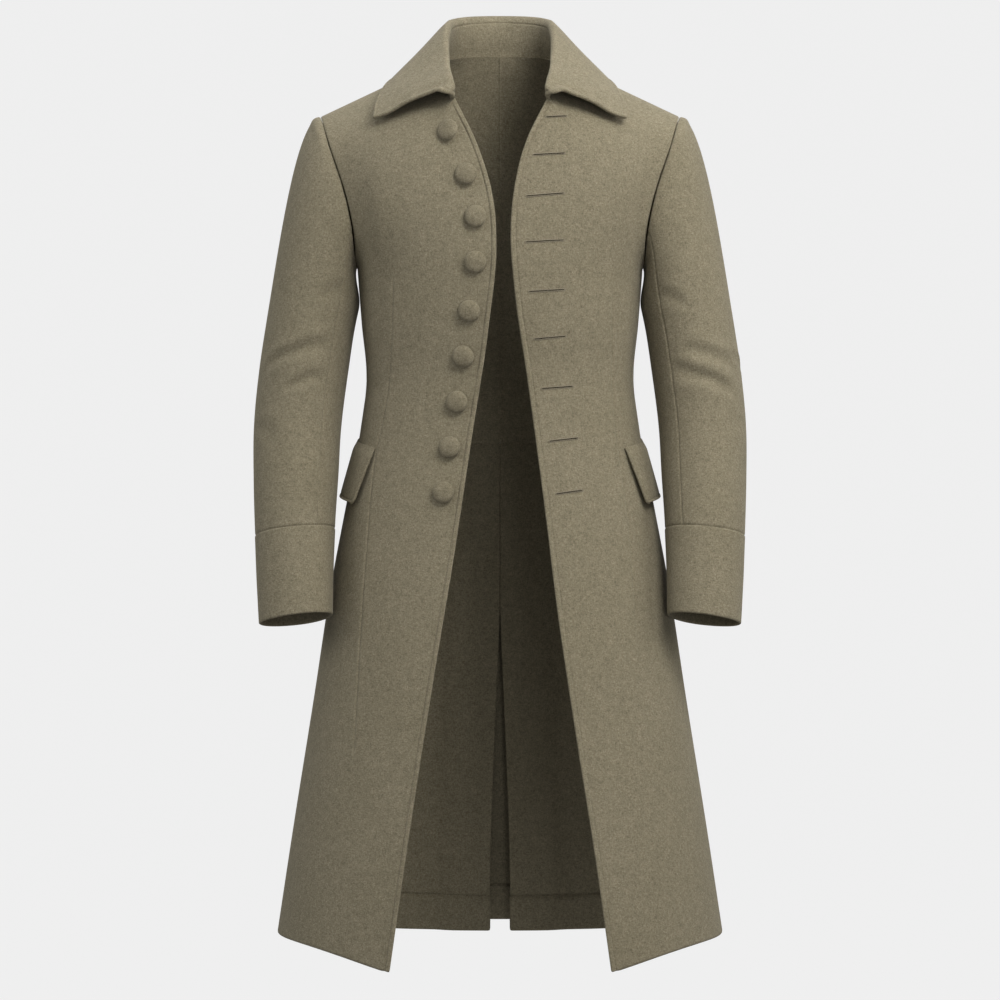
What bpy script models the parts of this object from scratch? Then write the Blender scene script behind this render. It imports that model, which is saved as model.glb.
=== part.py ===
"""Long fitted wool coat, open at the front and filled out with no wearer.

Metres, +Z up, front towards -Y, the wearer's left at +X. The origin is midway between the
two points where the shoulder seams meet the neck. Every cloth piece is a wall of one
thickness: a grid of points on its outer side, and the same grid moved in along the normals.
"""
import math

import bmesh
import bpy
import numpy as np
from mathutils import Vector
from mathutils.bvhtree import BVHTree

# Cloth
WALL = 0.003
COLLAR_WALL = 0.0032
FLAP_WALL = 0.0036
SEAM = 0.0003
COLOUR = (0.155, 0.128, 0.088, 1.0)

# Heights of the landmarks, from the shoulder neck points down
UNDERARM = -0.258
WAIST = -0.471
HEM = -1.085
HEM_SIDE_LIFT = 0.012
HEM_DIP_FRONT = 0.0255
HEM_DIP_BACK = 0.0225
HEM_FRONT_POWER = 4.9
HEM_BACK_POWER = 2.0
HEM_DEPTH = 0.200

# Body rings: height, half width at the side seam, depth in front, depth behind
BODY = (
    (-1.110, 0.2775, 0.229, 0.202),
    (-0.957, 0.2549, 0.205, 0.176),
    (-0.790, 0.2290, 0.174, 0.148),
    (-0.642, 0.2068, 0.148, 0.125),
    (-0.549, 0.1895, 0.132, 0.111),
    (-0.457, 0.1722, 0.118, 0.100),
    (-0.390, 0.1648, 0.116, 0.099),
    (-0.327, 0.1705, 0.123, 0.107),
    (-0.250, 0.1765, 0.129, 0.117),
)
SQUARENESS = 2.2
LOWER_ROWS = (-1.085, -1.0, -0.91, -0.82, -0.73, -0.64, -0.57, -0.515, WAIST,
              -0.425, -0.38, -0.335, -0.295, UNDERARM)

# Front edges seen from the front: height, distance of the edge from the middle
EDGE_RIGHT = (
    (-1.105, -0.1312), (-0.969, -0.1118), (-0.757, -0.0792), (-0.615, -0.0558), (-0.471, -0.0343),
    (-0.327, -0.0126), (-0.237, -0.0042), (-0.183, -0.0078), (-0.110, -0.0290), (-0.058, -0.0540),
)
EDGE_LEFT = (
    (-1.105, 0.1322), (-0.969, 0.1130), (-0.828, 0.0909), (-0.686, 0.0699), (-0.543, 0.0524),
    (-0.399, 0.0331), (-0.291, 0.0174), (-0.218, 0.0126), (-0.183, 0.0150), (-0.109, 0.0319),
    (-0.058, 0.0565),
)

# Neck: depth of the edge at the front neck point, then the neckline to the back
NECK_FRONT = (-0.100, -0.058)
NECK_SHOULDER = (0.078, 0.010, 0.0)
NECK_BACK = (0.0, 0.085, 0.0145)
SHOULDER_END = (0.2216, 0.005, -0.070)

# Armhole from the shoulder end round the front to the underarm, then up the back: x, y, z
ARMHOLE = (
    SHOULDER_END,
    (0.2177, -0.025, -0.080),
    (0.2080, -0.052, -0.112),
    (0.1900, -0.066, -0.166),
    (0.1800, -0.062, -0.212),
    (0.1770, -0.036, -0.246),
    (0.1765, 0.000, UNDERARM),
    (0.1765, 0.036, -0.246),
    (0.1785, 0.062, -0.210),
    (0.1875, 0.068, -0.165),
    (0.2030, 0.058, -0.116),
    (0.2165, 0.033, -0.082),
)
FRONT_ARMHOLE_ANGLES = (180, 162.5, 145, 128, 112, 96, 80, 64, 48, 32, 16, 0)
BACK_ARMHOLE_ANGLES = (180, 198, 216.5, 235, 252, 270, 288, 306, 324, 342, 360)
FRONT_EDGE_ROWS = 5
BACK_SEAM_ROWS = 5
INSEAM_ANGLE = 128
HIND_SEAM_ANGLE = 235
FRONT_COLUMNS = 10
BACK_COLUMNS = 8

# Sleeve rings: height, centre x, centre y, half width, half depth, fall to the back, fall outwards
SLEEVE = (
    (-0.308, 0.2302, 0.002, 0.0557, 0.070, 0.00, 0.00),
    (-0.327, 0.2337, 0.001, 0.0552, 0.0692, 0.00, 0.00),
    (-0.383, 0.2420, -0.002, 0.0550, 0.067, 0.02, 0.00),
    (-0.457, 0.2494, -0.012, 0.0537, 0.064, 0.06, 0.02),
    (-0.512, 0.2502, -0.027, 0.0521, 0.061, 0.10, 0.06),
    (-0.582, 0.2503, -0.048, 0.0487, 0.057, 0.14, 0.10),
    (-0.640, 0.2487, -0.065, 0.0462, 0.054, 0.155, 0.12),
    (-0.688, 0.2470, -0.078, 0.0445, 0.052, 0.16, 0.13),
)
SLEEVE_TOP_ROWS = (0.0, 0.08, 0.18, 0.3, 0.44, 0.6, 0.8, 1.0)
SLEEVE_LOWER_ROWS = (-0.327, -0.352, -0.383, -0.42, -0.457, -0.487, -0.518, -0.55)
CUFF_SEAM = -0.582
CUFF_ROWS = (CUFF_SEAM, -0.618, -0.655, -0.688)

# Collar from the front end (0) over the centre back (1): place, roll x, y, z, outer edge x, y, z.
# The roll widens to an arch at the front ends, where the fall's outer half is hollow.
COLLAR = (
    (0.00, 0.0790, -0.1120, -0.0485, 0.1545, -0.080, -0.0785),
    (0.14, 0.0650, -0.1000, -0.0330, 0.1535, -0.066, -0.0660),
    (0.30, 0.0664, -0.0660, -0.0090, 0.1490, -0.042, -0.0480),
    (0.545, 0.0668, 0.0000, 0.0415, 0.1350, 0.012, -0.0235),
    (0.77, 0.0535, 0.0640, 0.0605, 0.1070, 0.084, -0.0120),
    (1.00, 0.0000, 0.0955, 0.0670, 0.0000, 0.118, -0.0080),
    (1.23, -0.0535, 0.0640, 0.0605, -0.1070, 0.084, -0.0120),
)
COLLAR_ROLL_RADIUS = 0.0052
COLLAR_END_ROLL = 0.0055
COLLAR_END_REACH = 0.25
COLLAR_HOLLOW = 0.0030
COLLAR_FALL_BULGE = 0.0010
COLLAR_STAND_BULGE = 0.0035
COLLAR_ROWS = (0.0, 0.14, 0.27, 0.335, 0.385, 0.435, 0.49, 0.58, 0.7, 0.85, 1.0)

# Pocket flaps, along the ring from the side seam: back end positive
FLAP_FRONT_TOP = -0.0765
FLAP_FRONT_BOTTOM = -0.066
FLAP_BACK = 0.082
FLAP_TOP = -0.4805
FLAP_BOTTOM = -0.5520
FLAP_RISE = 0.15
FLAP_LIFT_TOP = 0.0006
FLAP_LIFT_BOTTOM = 0.0030

# Centre back pleat
PLEAT_HALF_WAIST = 0.045
PLEAT_HALF_HEM = 0.058
PLEAT_HEM = -1.084
PLEAT_STEP_IN = 0.0086
PLEAT_STEP_WIDTH = 0.030
PLEAT_STEP_FADE = 0.070
PLEAT_DEPTH_WAIST = 0.0080
PLEAT_DEPTH_HEM = 0.036
PLEAT_GAP_START = -0.67
PLEAT_GAP_HEM = 0.0133
PLEAT_ROWS = (-0.4716, -0.515, -0.57, -0.64, -0.73, -0.82, -0.91, -1.0, PLEAT_HEM)

# Buttons: height and distance from the middle, on the wearer's right front
BUTTONS = (
    (-0.0985, -0.0600), (-0.1515, -0.0398), (-0.2025, -0.0290), (-0.2570, -0.0294),
    (-0.3155, -0.0366), (-0.3700, -0.0438), (-0.4250, -0.0510), (-0.4800, -0.0595),
    (-0.5345, -0.0672),
)
BUTTON_PROFILE = ((0.0050, 0.0), (0.0116, 0.0018), (0.0132, 0.0040), (0.0118, 0.0062), (0.0072, 0.0084))
BUTTON_TOP = 0.0091
BUTTON_SIDES = 14
BUTTON_SEAT = 0.0007


def smooth(knots, values, at):
    """Cubic curve through rows of values at rising knots, with slopes taken from the neighbours."""
    knots = np.asarray(knots, float)
    values = np.asarray(values, float)
    at = np.clip(np.asarray(at, float), knots[0], knots[-1])
    slopes = np.gradient(values, knots, axis=0)
    i = np.clip(np.searchsorted(knots, at) - 1, 0, len(knots) - 2)
    span = knots[i + 1] - knots[i]
    t = (at - knots[i]) / span
    if values.ndim > 1:
        t = t[..., None]
        span = span[..., None]
    return ((2 * t**3 - 3 * t**2 + 1) * values[i] + (t**3 - 2 * t**2 + t) * span * slopes[i]
            + (3 * t**2 - 2 * t**3) * values[i + 1] + (t**3 - t**2) * span * slopes[i + 1])


def table(rows, at):
    """Reads a table whose first column is the knot and whose other columns are the values."""
    rows = np.asarray(sorted(rows), float)
    values = rows[:, 1] if rows.shape[1] == 2 else rows[:, 1:]
    return smooth(rows[:, 0], values, at)


def along(points, fractions):
    """Points at these fractions of the length of a dense polyline."""
    points = np.asarray(points, float)
    steps = np.linalg.norm(np.diff(points, axis=0), axis=1)
    length = np.concatenate([[0.0], np.cumsum(steps)])
    where = np.asarray(fractions, float) * length[-1]
    return np.stack([np.interp(where, length, points[:, k]) for k in range(3)], axis=1)


def unit(vectors):
    """Vectors of length one."""
    return vectors / np.maximum(np.linalg.norm(vectors, axis=-1, keepdims=True), 1e-12)


def ease(t):
    """Soft step from 0 to 1."""
    t = np.clip(t, 0.0, 1.0)
    return t * t * (3 - 2 * t)


def below_waist(height):
    """0 at the waist seam and above, 1 at the hem."""
    return np.clip((WAIST - height) / (WAIST - HEM), 0.0, 1.0)


def ring_depth(x, height, back):
    """Depth of the body ring at a distance x from the middle."""
    half_width, front, behind = table(BODY, height)
    reach = np.clip(1 - (np.abs(x) / half_width) ** SQUARENESS, 0.0, 1.0) ** (1 / SQUARENESS)
    return behind * reach if back else -front * reach


def ring(height, start_x, back, count=160):
    """Dense arc of the body ring from a distance start_x from the middle to the side seam."""
    half_width, front, behind = table(BODY, height)
    start = math.asin(min(1.0, (start_x / half_width) ** (SQUARENESS / 2)))
    angle = np.linspace(start, math.pi / 2, count)
    x = half_width * np.sin(angle) ** (2 / SQUARENESS)
    y = np.clip(np.cos(angle), 0, 1) ** (2 / SQUARENESS)
    y = behind * y if back else -front * y
    dip, power = (HEM_DIP_BACK, HEM_BACK_POWER) if back else (HEM_DIP_FRONT, HEM_FRONT_POWER)
    drop = (HEM_SIDE_LIFT - dip * (np.abs(y) / HEM_DEPTH) ** power) * below_waist(height)
    return np.stack([x, y, height + drop], axis=1)


def armhole(angles):
    """Armhole points: 0 degrees at the shoulder end, 90 in front, 180 under the arm, 270 behind."""
    loop = np.array(ARMHOLE[-3:] + ARMHOLE + ARMHOLE[:4])
    places = np.arange(len(loop)) - 3.0
    dense = smooth(places, loop, np.linspace(0, len(ARMHOLE), 481))
    front = along(dense[:241], np.array([a for a in angles if a <= 180]) / 180)
    behind = along(dense[240:], (np.array([a for a in angles if a > 180]) - 180) / 180)
    return np.concatenate([front, behind]) if len(behind) else front


def neckline_front(edge_x):
    """Dense neckline from the front neck point to the shoulder neck point."""
    knots = (0.0, 0.5, 1.0)
    points = ((edge_x, *NECK_FRONT), (0.0735, -0.050, -0.031), NECK_SHOULDER)
    return smooth(knots, points, np.linspace(0, 1, 80))


def neckline_back():
    """Dense neckline from the centre back to the shoulder neck point."""
    t = np.linspace(0, math.pi / 2, 80)
    x = NECK_SHOULDER[0] * np.sin(t)
    y = NECK_SHOULDER[1] + (NECK_BACK[1] - NECK_SHOULDER[1]) * np.cos(t) ** 0.9
    z = NECK_BACK[2] * np.cos(t) ** 1.2
    return np.stack([x, y, z], axis=1)


def upper_rows(inner, outer, low_row, columns):
    """Rows above the underarm: chords from the inner edge to the armhole, bulged like the lowest row."""
    u = np.linspace(0, 1, columns + 1)[:, None]
    bulge = low_row - (low_row[0] * (1 - u) + low_row[-1] * u)
    rows = []
    for k in range(1, len(inner)):
        share = k / (len(inner) - 1)
        chord = inner[k] * (1 - u) + outer[k] * u
        rows.append(chord + bulge * (1 - share) ** 1.25)
    return rows


def front_grid(edge_rows):
    """Front panel of one side as if at +X: rows from the hem to the shoulder seam."""
    u = np.linspace(0, 1, FRONT_COLUMNS + 1)
    rows = []
    for height in LOWER_ROWS:
        low = ring(height, abs(float(table(edge_rows, height))), False)
        start_x = abs(float(table(edge_rows, low[0, 2])))
        rows.append(along(ring(height, start_x, False), u))
    heights = np.linspace(UNDERARM, NECK_FRONT[1], FRONT_EDGE_ROWS + 1)
    edge_x = np.abs(table(edge_rows, heights))
    share = (heights - UNDERARM) / (NECK_FRONT[1] - UNDERARM)
    edge_y = rows[-1][0, 1] + (NECK_FRONT[0] - rows[-1][0, 1]) * share**1.6
    edge = np.stack([edge_x, edge_y, heights], axis=1)
    neck_rows = len(FRONT_ARMHOLE_ANGLES) - 1 - FRONT_EDGE_ROWS
    neck = along(neckline_front(edge_x[-1]), np.linspace(0, 1, neck_rows + 1))
    inner = np.concatenate([edge, neck[1:]])
    outer = armhole(FRONT_ARMHOLE_ANGLES[::-1])[::-1]
    rows += upper_rows(inner, outer, rows[-1], FRONT_COLUMNS)
    return np.array(rows)


def pleat_gap(height):
    """Half the gap between the back skirt edges."""
    return PLEAT_GAP_HEM * ease((PLEAT_GAP_START - height) / (PLEAT_GAP_START - HEM)) ** 0.7


def back_grid():
    """Back of one side as if at +X, hem to shoulder seam; the skirt rows are as if there was no pleat."""
    u = np.linspace(0, 1, BACK_COLUMNS + 1)
    rows = [along(ring(height, float(pleat_gap(height)), True), u) for height in LOWER_ROWS]
    share = np.linspace(0, 1, BACK_SEAM_ROWS + 1)
    seam_z = UNDERARM + (NECK_BACK[2] - UNDERARM) * share
    seam_y = smooth((0, 0.35, 0.7, 1), (rows[-1][0, 1], 0.121, 0.112, NECK_BACK[1]), share)
    seam = np.stack([np.zeros_like(share), seam_y, seam_z], axis=1)
    neck_rows = len(BACK_ARMHOLE_ANGLES) - 1 - BACK_SEAM_ROWS
    neck = along(neckline_back(), np.linspace(0, 1, neck_rows + 1))
    inner = np.concatenate([seam, neck[1:]])
    outer = armhole(BACK_ARMHOLE_ANGLES)
    rows += upper_rows(inner, outer, rows[-1], BACK_COLUMNS)
    return np.array(rows)


def grid_normals(points, outward):
    """Unit normals of a grid, on the side where the outward function points."""
    along_u = np.gradient(points, axis=1)
    along_v = np.gradient(points, axis=0)
    normals = unit(np.cross(along_u, along_v))
    middle = points[len(points) // 2, points.shape[1] // 2]
    facing = normals[len(points) // 2, points.shape[1] // 2]
    return normals if np.dot(facing, outward(middle)) > 0 else -normals


def away_from_axis(point):
    """Direction from the vertical middle line of the body."""
    return np.array([point[0], point[1], 0.0])


def share_edges(front, front_normals, back, back_normals):
    """Gives front and back one normal along the side seam, and both one along the shoulder seam."""
    count = len(LOWER_ROWS)
    side = unit(front_normals[:count, -1] + back_normals[:count, -1])
    front_normals[:count, -1] = side
    back_normals[:count, -1] = side
    slope = np.array(SHOULDER_END) - np.array(NECK_SHOULDER)
    up = unit(np.cross(slope, (0.0, 1.0, 0.0)))
    up = up if up[2] > 0 else -up
    front_normals[-1] = up
    back_normals[-1] = up


def inward(edge, normals, neighbours):
    """Unit directions in the cloth, square to its edge, that point from the edge into the panel."""
    into = unit(np.cross(np.gradient(edge, axis=0), normals))
    return into if np.sum(into * (neighbours - edge)) > 0 else -into


def pull_back(points, normals, sides, amount=SEAM / 2):
    """Shift that draws the named sides of a grid back from their seams."""
    shift = np.zeros_like(points)
    if "left" in sides:
        shift[:, 0] += inward(points[:, 0], normals[:, 0], points[:, 1]) * amount
    if "right" in sides:
        shift[:, -1] += inward(points[:, -1], normals[:, -1], points[:, -2]) * amount
    if "bottom" in sides:
        shift[0] += inward(points[0], normals[0], points[1]) * amount
    if "top" in sides:
        shift[-1] += inward(points[-1], normals[-1], points[-2]) * amount
    return shift


def material(name):
    """Matt wool cloth."""
    mat = bpy.data.materials.new(name)
    mat.use_nodes = True
    shader = mat.node_tree.nodes["Principled BSDF"]
    shader.inputs["Base Color"].default_value = COLOUR
    shader.inputs["Roughness"].default_value = 0.95
    shader.inputs["Metallic"].default_value = 0.0
    return mat


def add_object(name, vertices, faces):
    """Object from vertices and faces, its faces turned outwards and shaded smooth."""
    mesh = bpy.data.meshes.new(name)
    mesh.from_pydata([tuple(v) for v in vertices], [], faces)
    shape = bmesh.new()
    shape.from_mesh(mesh)
    if shape.calc_volume(signed=True) < 0:
        bmesh.ops.reverse_faces(shape, faces=shape.faces)
    shape.to_mesh(mesh)
    shape.free()
    mesh.shade_smooth()
    mesh.set_sharp_from_angle(angle=math.radians(50))
    obj = bpy.data.objects.new(name, mesh)
    obj.data.materials.append(material(name + "_cloth"))
    bpy.context.scene.collection.objects.link(obj)
    return obj


def wall(name, outer, inner, side=1):
    """Closed wall between two grids; side -1 is its mirror image at -X."""
    rows, columns = outer.shape[:2]
    mirror = np.array([side, 1, 1])
    vertices = np.concatenate([outer.reshape(-1, 3), inner.reshape(-1, 3)]) * mirror
    half = rows * columns
    at = np.arange(half).reshape(rows, columns)
    faces = []
    for r in range(rows - 1):
        for c in range(columns - 1):
            a, b, d, e = at[r, c], at[r, c + 1], at[r + 1, c + 1], at[r + 1, c]
            faces.append((a, b, d, e))
            faces.append((a + half, e + half, d + half, b + half))
    border = list(at[0, :]) + list(at[1:, -1]) + list(at[-1, -2::-1]) + list(at[-2:0:-1, 0])
    for k, a in enumerate(border):
        b = border[(k + 1) % len(border)]
        faces.append((b, a, a + half, b + half))
    faces = [tuple(int(i) for i in face) for face in faces]
    return add_object(name, vertices, faces)


def panel(name, points, normals, sides, side=1, thickness=WALL):
    """Wall of a cloth panel that hangs inwards from its outer points."""
    shift = pull_back(points, normals, sides)
    return wall(name, points + shift, points - normals * thickness + shift, side)


def pleat_step(points):
    """Moves the back in beside the centre back, where the pleat's layers lie on the skirt. Above the
    waist seam the step fades out, so that the upper back meets the skirt at the seam."""
    width = PLEAT_HALF_WAIST + (PLEAT_HALF_HEM - PLEAT_HALF_WAIST) * below_waist(points[..., 2])
    share = 1 - ease((points[..., 0] - width) / PLEAT_STEP_WIDTH)
    share = share * ease((WAIST + PLEAT_STEP_FADE - points[..., 2]) / PLEAT_STEP_FADE)
    moved = points.copy()
    moved[..., 1] -= PLEAT_STEP_IN * share
    return moved


def body_panels():
    """Fronts, backs and back skirts. Returns the grids that other pieces are seated on."""
    waist_row = LOWER_ROWS.index(WAIST)
    back = back_grid()
    back_normals = grid_normals(back, away_from_axis)
    fronts = {}
    for side, tag, edge in ((1, "left", EDGE_LEFT), (-1, "right", EDGE_RIGHT)):
        front = front_grid(edge)
        normals = grid_normals(front, away_from_axis)
        share_edges(front, normals, back, back_normals)
        panel("front_" + tag, front, normals, ("right", "top"), side)
        fronts[tag] = (front, normals)
    back_normals[:, 0, 0] = 0.0
    back_normals = unit(back_normals)
    upper = pleat_step(back[waist_row:])
    upper_normals = back_normals[waist_row:]
    skirt = pleat_step(back[:waist_row + 1])
    skirt_normals = back_normals[:waist_row + 1]
    for side, tag in ((1, "left"), (-1, "right")):
        panel("back_" + tag, upper, upper_normals, ("left", "right", "top", "bottom"), side)
        panel("skirt_back_" + tag, skirt, skirt_normals, ("left", "right", "top"), side)
    return fronts, (back, back_normals)


def pleat():
    """Centre back box pleat: a folded channel whose two returns lie on the back skirt."""
    rows = []
    for height in PLEAT_ROWS:
        low = float(below_waist(height))
        half = PLEAT_HALF_WAIST + (PLEAT_HALF_HEM - PLEAT_HALF_WAIST) * low
        deep = PLEAT_DEPTH_WAIST + (PLEAT_DEPTH_HEM - PLEAT_DEPTH_WAIST) * low**1.2
        start = float(pleat_gap(height)) + 0.0006
        near = float(ring_depth(0.0, height, True)) - PLEAT_STEP_IN + 0.0006
        fold = deep / 2 if deep < 0.012 else 0.006
        far = near + deep
        section = (
            (start, near), ((start + half) / 2, near), (half - fold, near),
            (half - 0.25 * fold, near + 0.35 * fold), (half, near + deep / 2),
            (half - 0.25 * fold, far - 0.35 * fold), (half - fold, far), (half / 2, far), (0.0, far),
        )
        section = section + tuple((-x, y) for x, y in section[-2::-1])
        rows.append([(x, y, height) for x, y in section])
    points = np.array(rows)
    normals = grid_normals(points, away_from_axis)
    wall("pleat_insert", points, points - normals * WALL)


def sleeve_ring(height, angles):
    """Ring of the sleeve at a height: 0 degrees is outermost, 90 in front, 180 beside the body."""
    centre_x, centre_y, half_width, half_depth, fall_back, fall_out = table(SLEEVE, height)
    turn = np.radians(angles)
    dx = half_width * np.cos(turn)
    dy = -half_depth * np.sin(turn)
    dz = -fall_back * dy - fall_out * dx
    return np.stack([centre_x + dx, centre_y + dy, height + dz], axis=1)


def sleeve_grid(fronts_and_back):
    """Sleeve from the armhole to the cuff seam as if at +X, with one column per armhole station.
    The sleeve head is a cubic curve that leaves the seam outwards over the shoulder and steeply down
    under the arm, and runs into the top ring."""
    front, front_normals, back, back_normals = fronts_and_back
    angles = np.array(FRONT_ARMHOLE_ANGLES[::-1] + BACK_ARMHOLE_ANGLES[1:], float)
    lowest = len(LOWER_ROWS) - 1
    edge = np.concatenate([front[lowest:, -1][::-1], back[lowest + 1:, -1]])
    facing = np.concatenate([front_normals[lowest:, -1][::-1], back_normals[lowest + 1:, -1]])
    outward = unit(np.cross(np.gradient(edge, axis=0), facing))
    outward[0] = outward[-1] = unit(outward[0] + outward[-1])
    outward = outward if outward[0, 0] > 0 else -outward
    turn = np.radians(angles)
    leave = unit(np.stack([0.74 + 0.25 * np.cos(turn), -0.55 * np.sin(turn),
                           -0.48 + 0.39 * np.cos(turn)], axis=1))
    start = edge + unit(outward + leave) * (SEAM + 0.0001)
    end = sleeve_ring(SLEEVE[0][0], angles)
    below = sleeve_ring(SLEEVE[0][0] - 0.01, angles)
    reach = np.linalg.norm(end - start, axis=1)[:, None]
    first = start + leave * (0.020 + 0.008 * np.cos(turn))[:, None]
    last = end - unit(below - end) * reach * 0.42
    rows = []
    for t in SLEEVE_TOP_ROWS:
        rows.append((1 - t)**3 * start + 3 * (1 - t)**2 * t * first + 3 * (1 - t) * t**2 * last + t**3 * end)
    for height in SLEEVE_LOWER_ROWS:
        rows.append(sleeve_ring(height, angles))
    rows.append(sleeve_ring(CUFF_SEAM, angles))
    return np.array(rows), angles


def tube_normals(points):
    """Normals of a closed tube grid whose last column repeats the first."""
    padded = np.concatenate([points[:, -2:-1], points, points[:, 1:2]], axis=1)
    along_u = (padded[:, 2:] - padded[:, :-2])
    normals = unit(np.cross(along_u, np.gradient(points, axis=0)))
    centre = points[:, :-1].mean(axis=1, keepdims=True)
    return normals if np.sum(normals * (points - centre)) > 0 else -normals


def sleeves(fronts, back):
    """Two-piece sleeves with a front and a hind seam, and the cuffs below them."""
    for side, tag in ((1, "left"), (-1, "right")):
        points, angles = sleeve_grid(fronts[tag] + back)
        normals = tube_normals(points)
        inseam = int(np.where(angles == INSEAM_ANGLE)[0][0])
        hind = int(np.where(angles == HIND_SEAM_ANGLE)[0][0])
        order = np.concatenate([np.arange(hind, len(angles) - 1), np.arange(0, inseam + 1)])
        edges = ("left", "right", "top")
        panel("sleeve_top_" + tag, points[:, order], normals[:, order], edges, side)
        lower = slice(inseam, hind + 1)
        panel("sleeve_under_" + tag, points[:, lower], normals[:, lower], edges, side)
        cuff(tag, side, angles)


def cuff(tag, side, angles):
    """Cuff: a closed tube from the cuff seam to the hand opening."""
    points = np.array([sleeve_ring(height, angles) for height in CUFF_ROWS])
    normals = tube_normals(points)
    shift = np.zeros_like(points)
    shift[0] = unit(points[1] - points[0]) * SEAM / 2
    outer = (points + shift)[:, :-1]
    inner = (points - normals * WALL + shift)[:, :-1]
    rows, columns = outer.shape[:2]
    vertices = np.concatenate([outer.reshape(-1, 3), inner.reshape(-1, 3)]) * np.array([side, 1, 1])
    half = rows * columns
    faces = []
    for c in range(columns):
        d = (c + 1) % columns
        for r in range(rows - 1):
            a, b = r * columns + c, r * columns + d
            faces.append((a, b, b + columns, a + columns))
            faces.append((a + half, a + columns + half, b + columns + half, b + half))
        faces.append((d, c, c + half, d + half))
        last = (rows - 1) * columns
        faces.append((last + c, last + d, last + d + half, last + c + half))
    add_object("cuff_" + tag, vertices, faces)


def steepness(high, low):
    """Fall from one point to another for each metre between them on the level."""
    return (high[2] - low[2]) / math.hypot(high[0] - low[0], high[1] - low[1])


def collar_side(front, front_normals, back, back_normals):
    """Half of the collar as if at +X: columns from the front end to the centre back, rows up and over.
    Each column is a curve through the neckline, a point on the stand, both sides of the roll and its
    top, two points on the fall and its outer edge; both sides of the roll drop as their slopes ask."""
    low = len(LOWER_ROWS) - 1
    front_neck = front[low + FRONT_EDGE_ROWS:, 0]
    front_up = front_normals[low + FRONT_EDGE_ROWS:, 0]
    back_neck = back[low + BACK_SEAM_ROWS:-1, 0][::-1]
    back_up = back_normals[low + BACK_SEAM_ROWS:-1, 0][::-1]
    neck = np.concatenate([front_neck, back_neck])
    lift = np.concatenate([front_up, back_up])
    places = np.linspace(0, 1, len(neck))
    rows = table(COLLAR, places)
    roll, edge = rows[:, :3], rows[:, 3:]
    out = edge - roll
    out[:, 2] = 0
    out = unit(out)
    up = np.array([0.0, 0.0, 1.0])
    columns = []
    for k in range(len(neck)):
        base = neck[k] + lift[k] * (SEAM + 0.0002)
        r = COLLAR_ROLL_RADIUS + COLLAR_END_ROLL * max(0.0, 1 - places[k] / COLLAR_END_REACH)
        rise = steepness(roll[k], base)
        fall = steepness(roll[k], edge[k])
        inside = roll[k] - out[k] * r - up * r * min(0.9, 0.7 * rise)
        outside = roll[k] + out[k] * r * 1.1 - up * r * min(0.8, 0.88 * fall)
        lean = unit(np.cross(edge[k] - outside, np.cross(out[k], up)))
        lean = lean if lean[2] > 0 else -lean
        hollow = COLLAR_HOLLOW * max(0.0, 1 - places[k] / COLLAR_END_REACH)
        points = (base, base * 0.5 + inside * 0.5 - out[k] * COLLAR_STAND_BULGE, inside, roll[k], outside,
                  outside * 0.6 + edge[k] * 0.4 + lean * COLLAR_FALL_BULGE,
                  outside * 0.25 + edge[k] * 0.75 + lean * (COLLAR_FALL_BULGE - hollow), edge[k])
        knots = np.array((0.0, 0.16, 0.31, 0.38, 0.45, 0.65, 0.85, 1.0))
        columns.append(smooth(knots, np.array(points), np.array(COLLAR_ROWS)))
    return np.array(columns).transpose(1, 0, 2), unit(out + lift)


def collar(fronts, back):
    """Turned-down collar: it rises from the neckline, rolls over and falls on the shoulders."""
    left, left_foot = collar_side(*fronts["left"], *back)
    right, right_foot = collar_side(*fronts["right"], *back)
    mirror = np.array([-1, 1, 1])
    points = np.concatenate([right * mirror, left[:, ::-1][:, 1:]], axis=1)
    middle = left.shape[1] - 1
    normals = grid_normals(points, away_from_axis)
    if normals[-1, middle, 1] < 0:
        normals = -normals
    normals[0] = -np.concatenate([right_foot * mirror, left_foot[::-1][1:]])
    wall("collar", points, points - normals * COLLAR_WALL)


def around_side(height, distance):
    """Point of the body ring at a distance along it from the side seam, positive to the back."""
    back = distance > 0
    dense = ring(height, 0.0, back)[::-1]
    steps = np.linalg.norm(np.diff(dense, axis=0), axis=1)
    length = np.concatenate([[0.0], np.cumsum(steps)])
    return np.array([np.interp(abs(distance), length, dense[:, k]) for k in range(3)])


def pocket_flaps():
    """Slanted flaps that lie round the side seams and stand off a little at the bottom."""
    rows = []
    for t in np.linspace(0, 1, 5):
        start = FLAP_FRONT_TOP + (FLAP_FRONT_BOTTOM - FLAP_FRONT_TOP) * t
        row = []
        for d in np.linspace(start, FLAP_BACK, 11):
            height = FLAP_TOP + (FLAP_BOTTOM - FLAP_TOP) * t + FLAP_RISE * (d - start)
            row.append(around_side(height, d))
        rows.append(row)
    skin = np.array(rows)
    normals = grid_normals(skin, away_from_axis)
    lift = np.linspace(FLAP_LIFT_TOP, FLAP_LIFT_BOTTOM, 5)[:, None, None]
    under = skin + normals * lift
    outer = under + normals * FLAP_WALL
    for side, tag in ((1, "left"), (-1, "right")):
        wall("pocket_flap_" + tag, outer, under, side)


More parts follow.
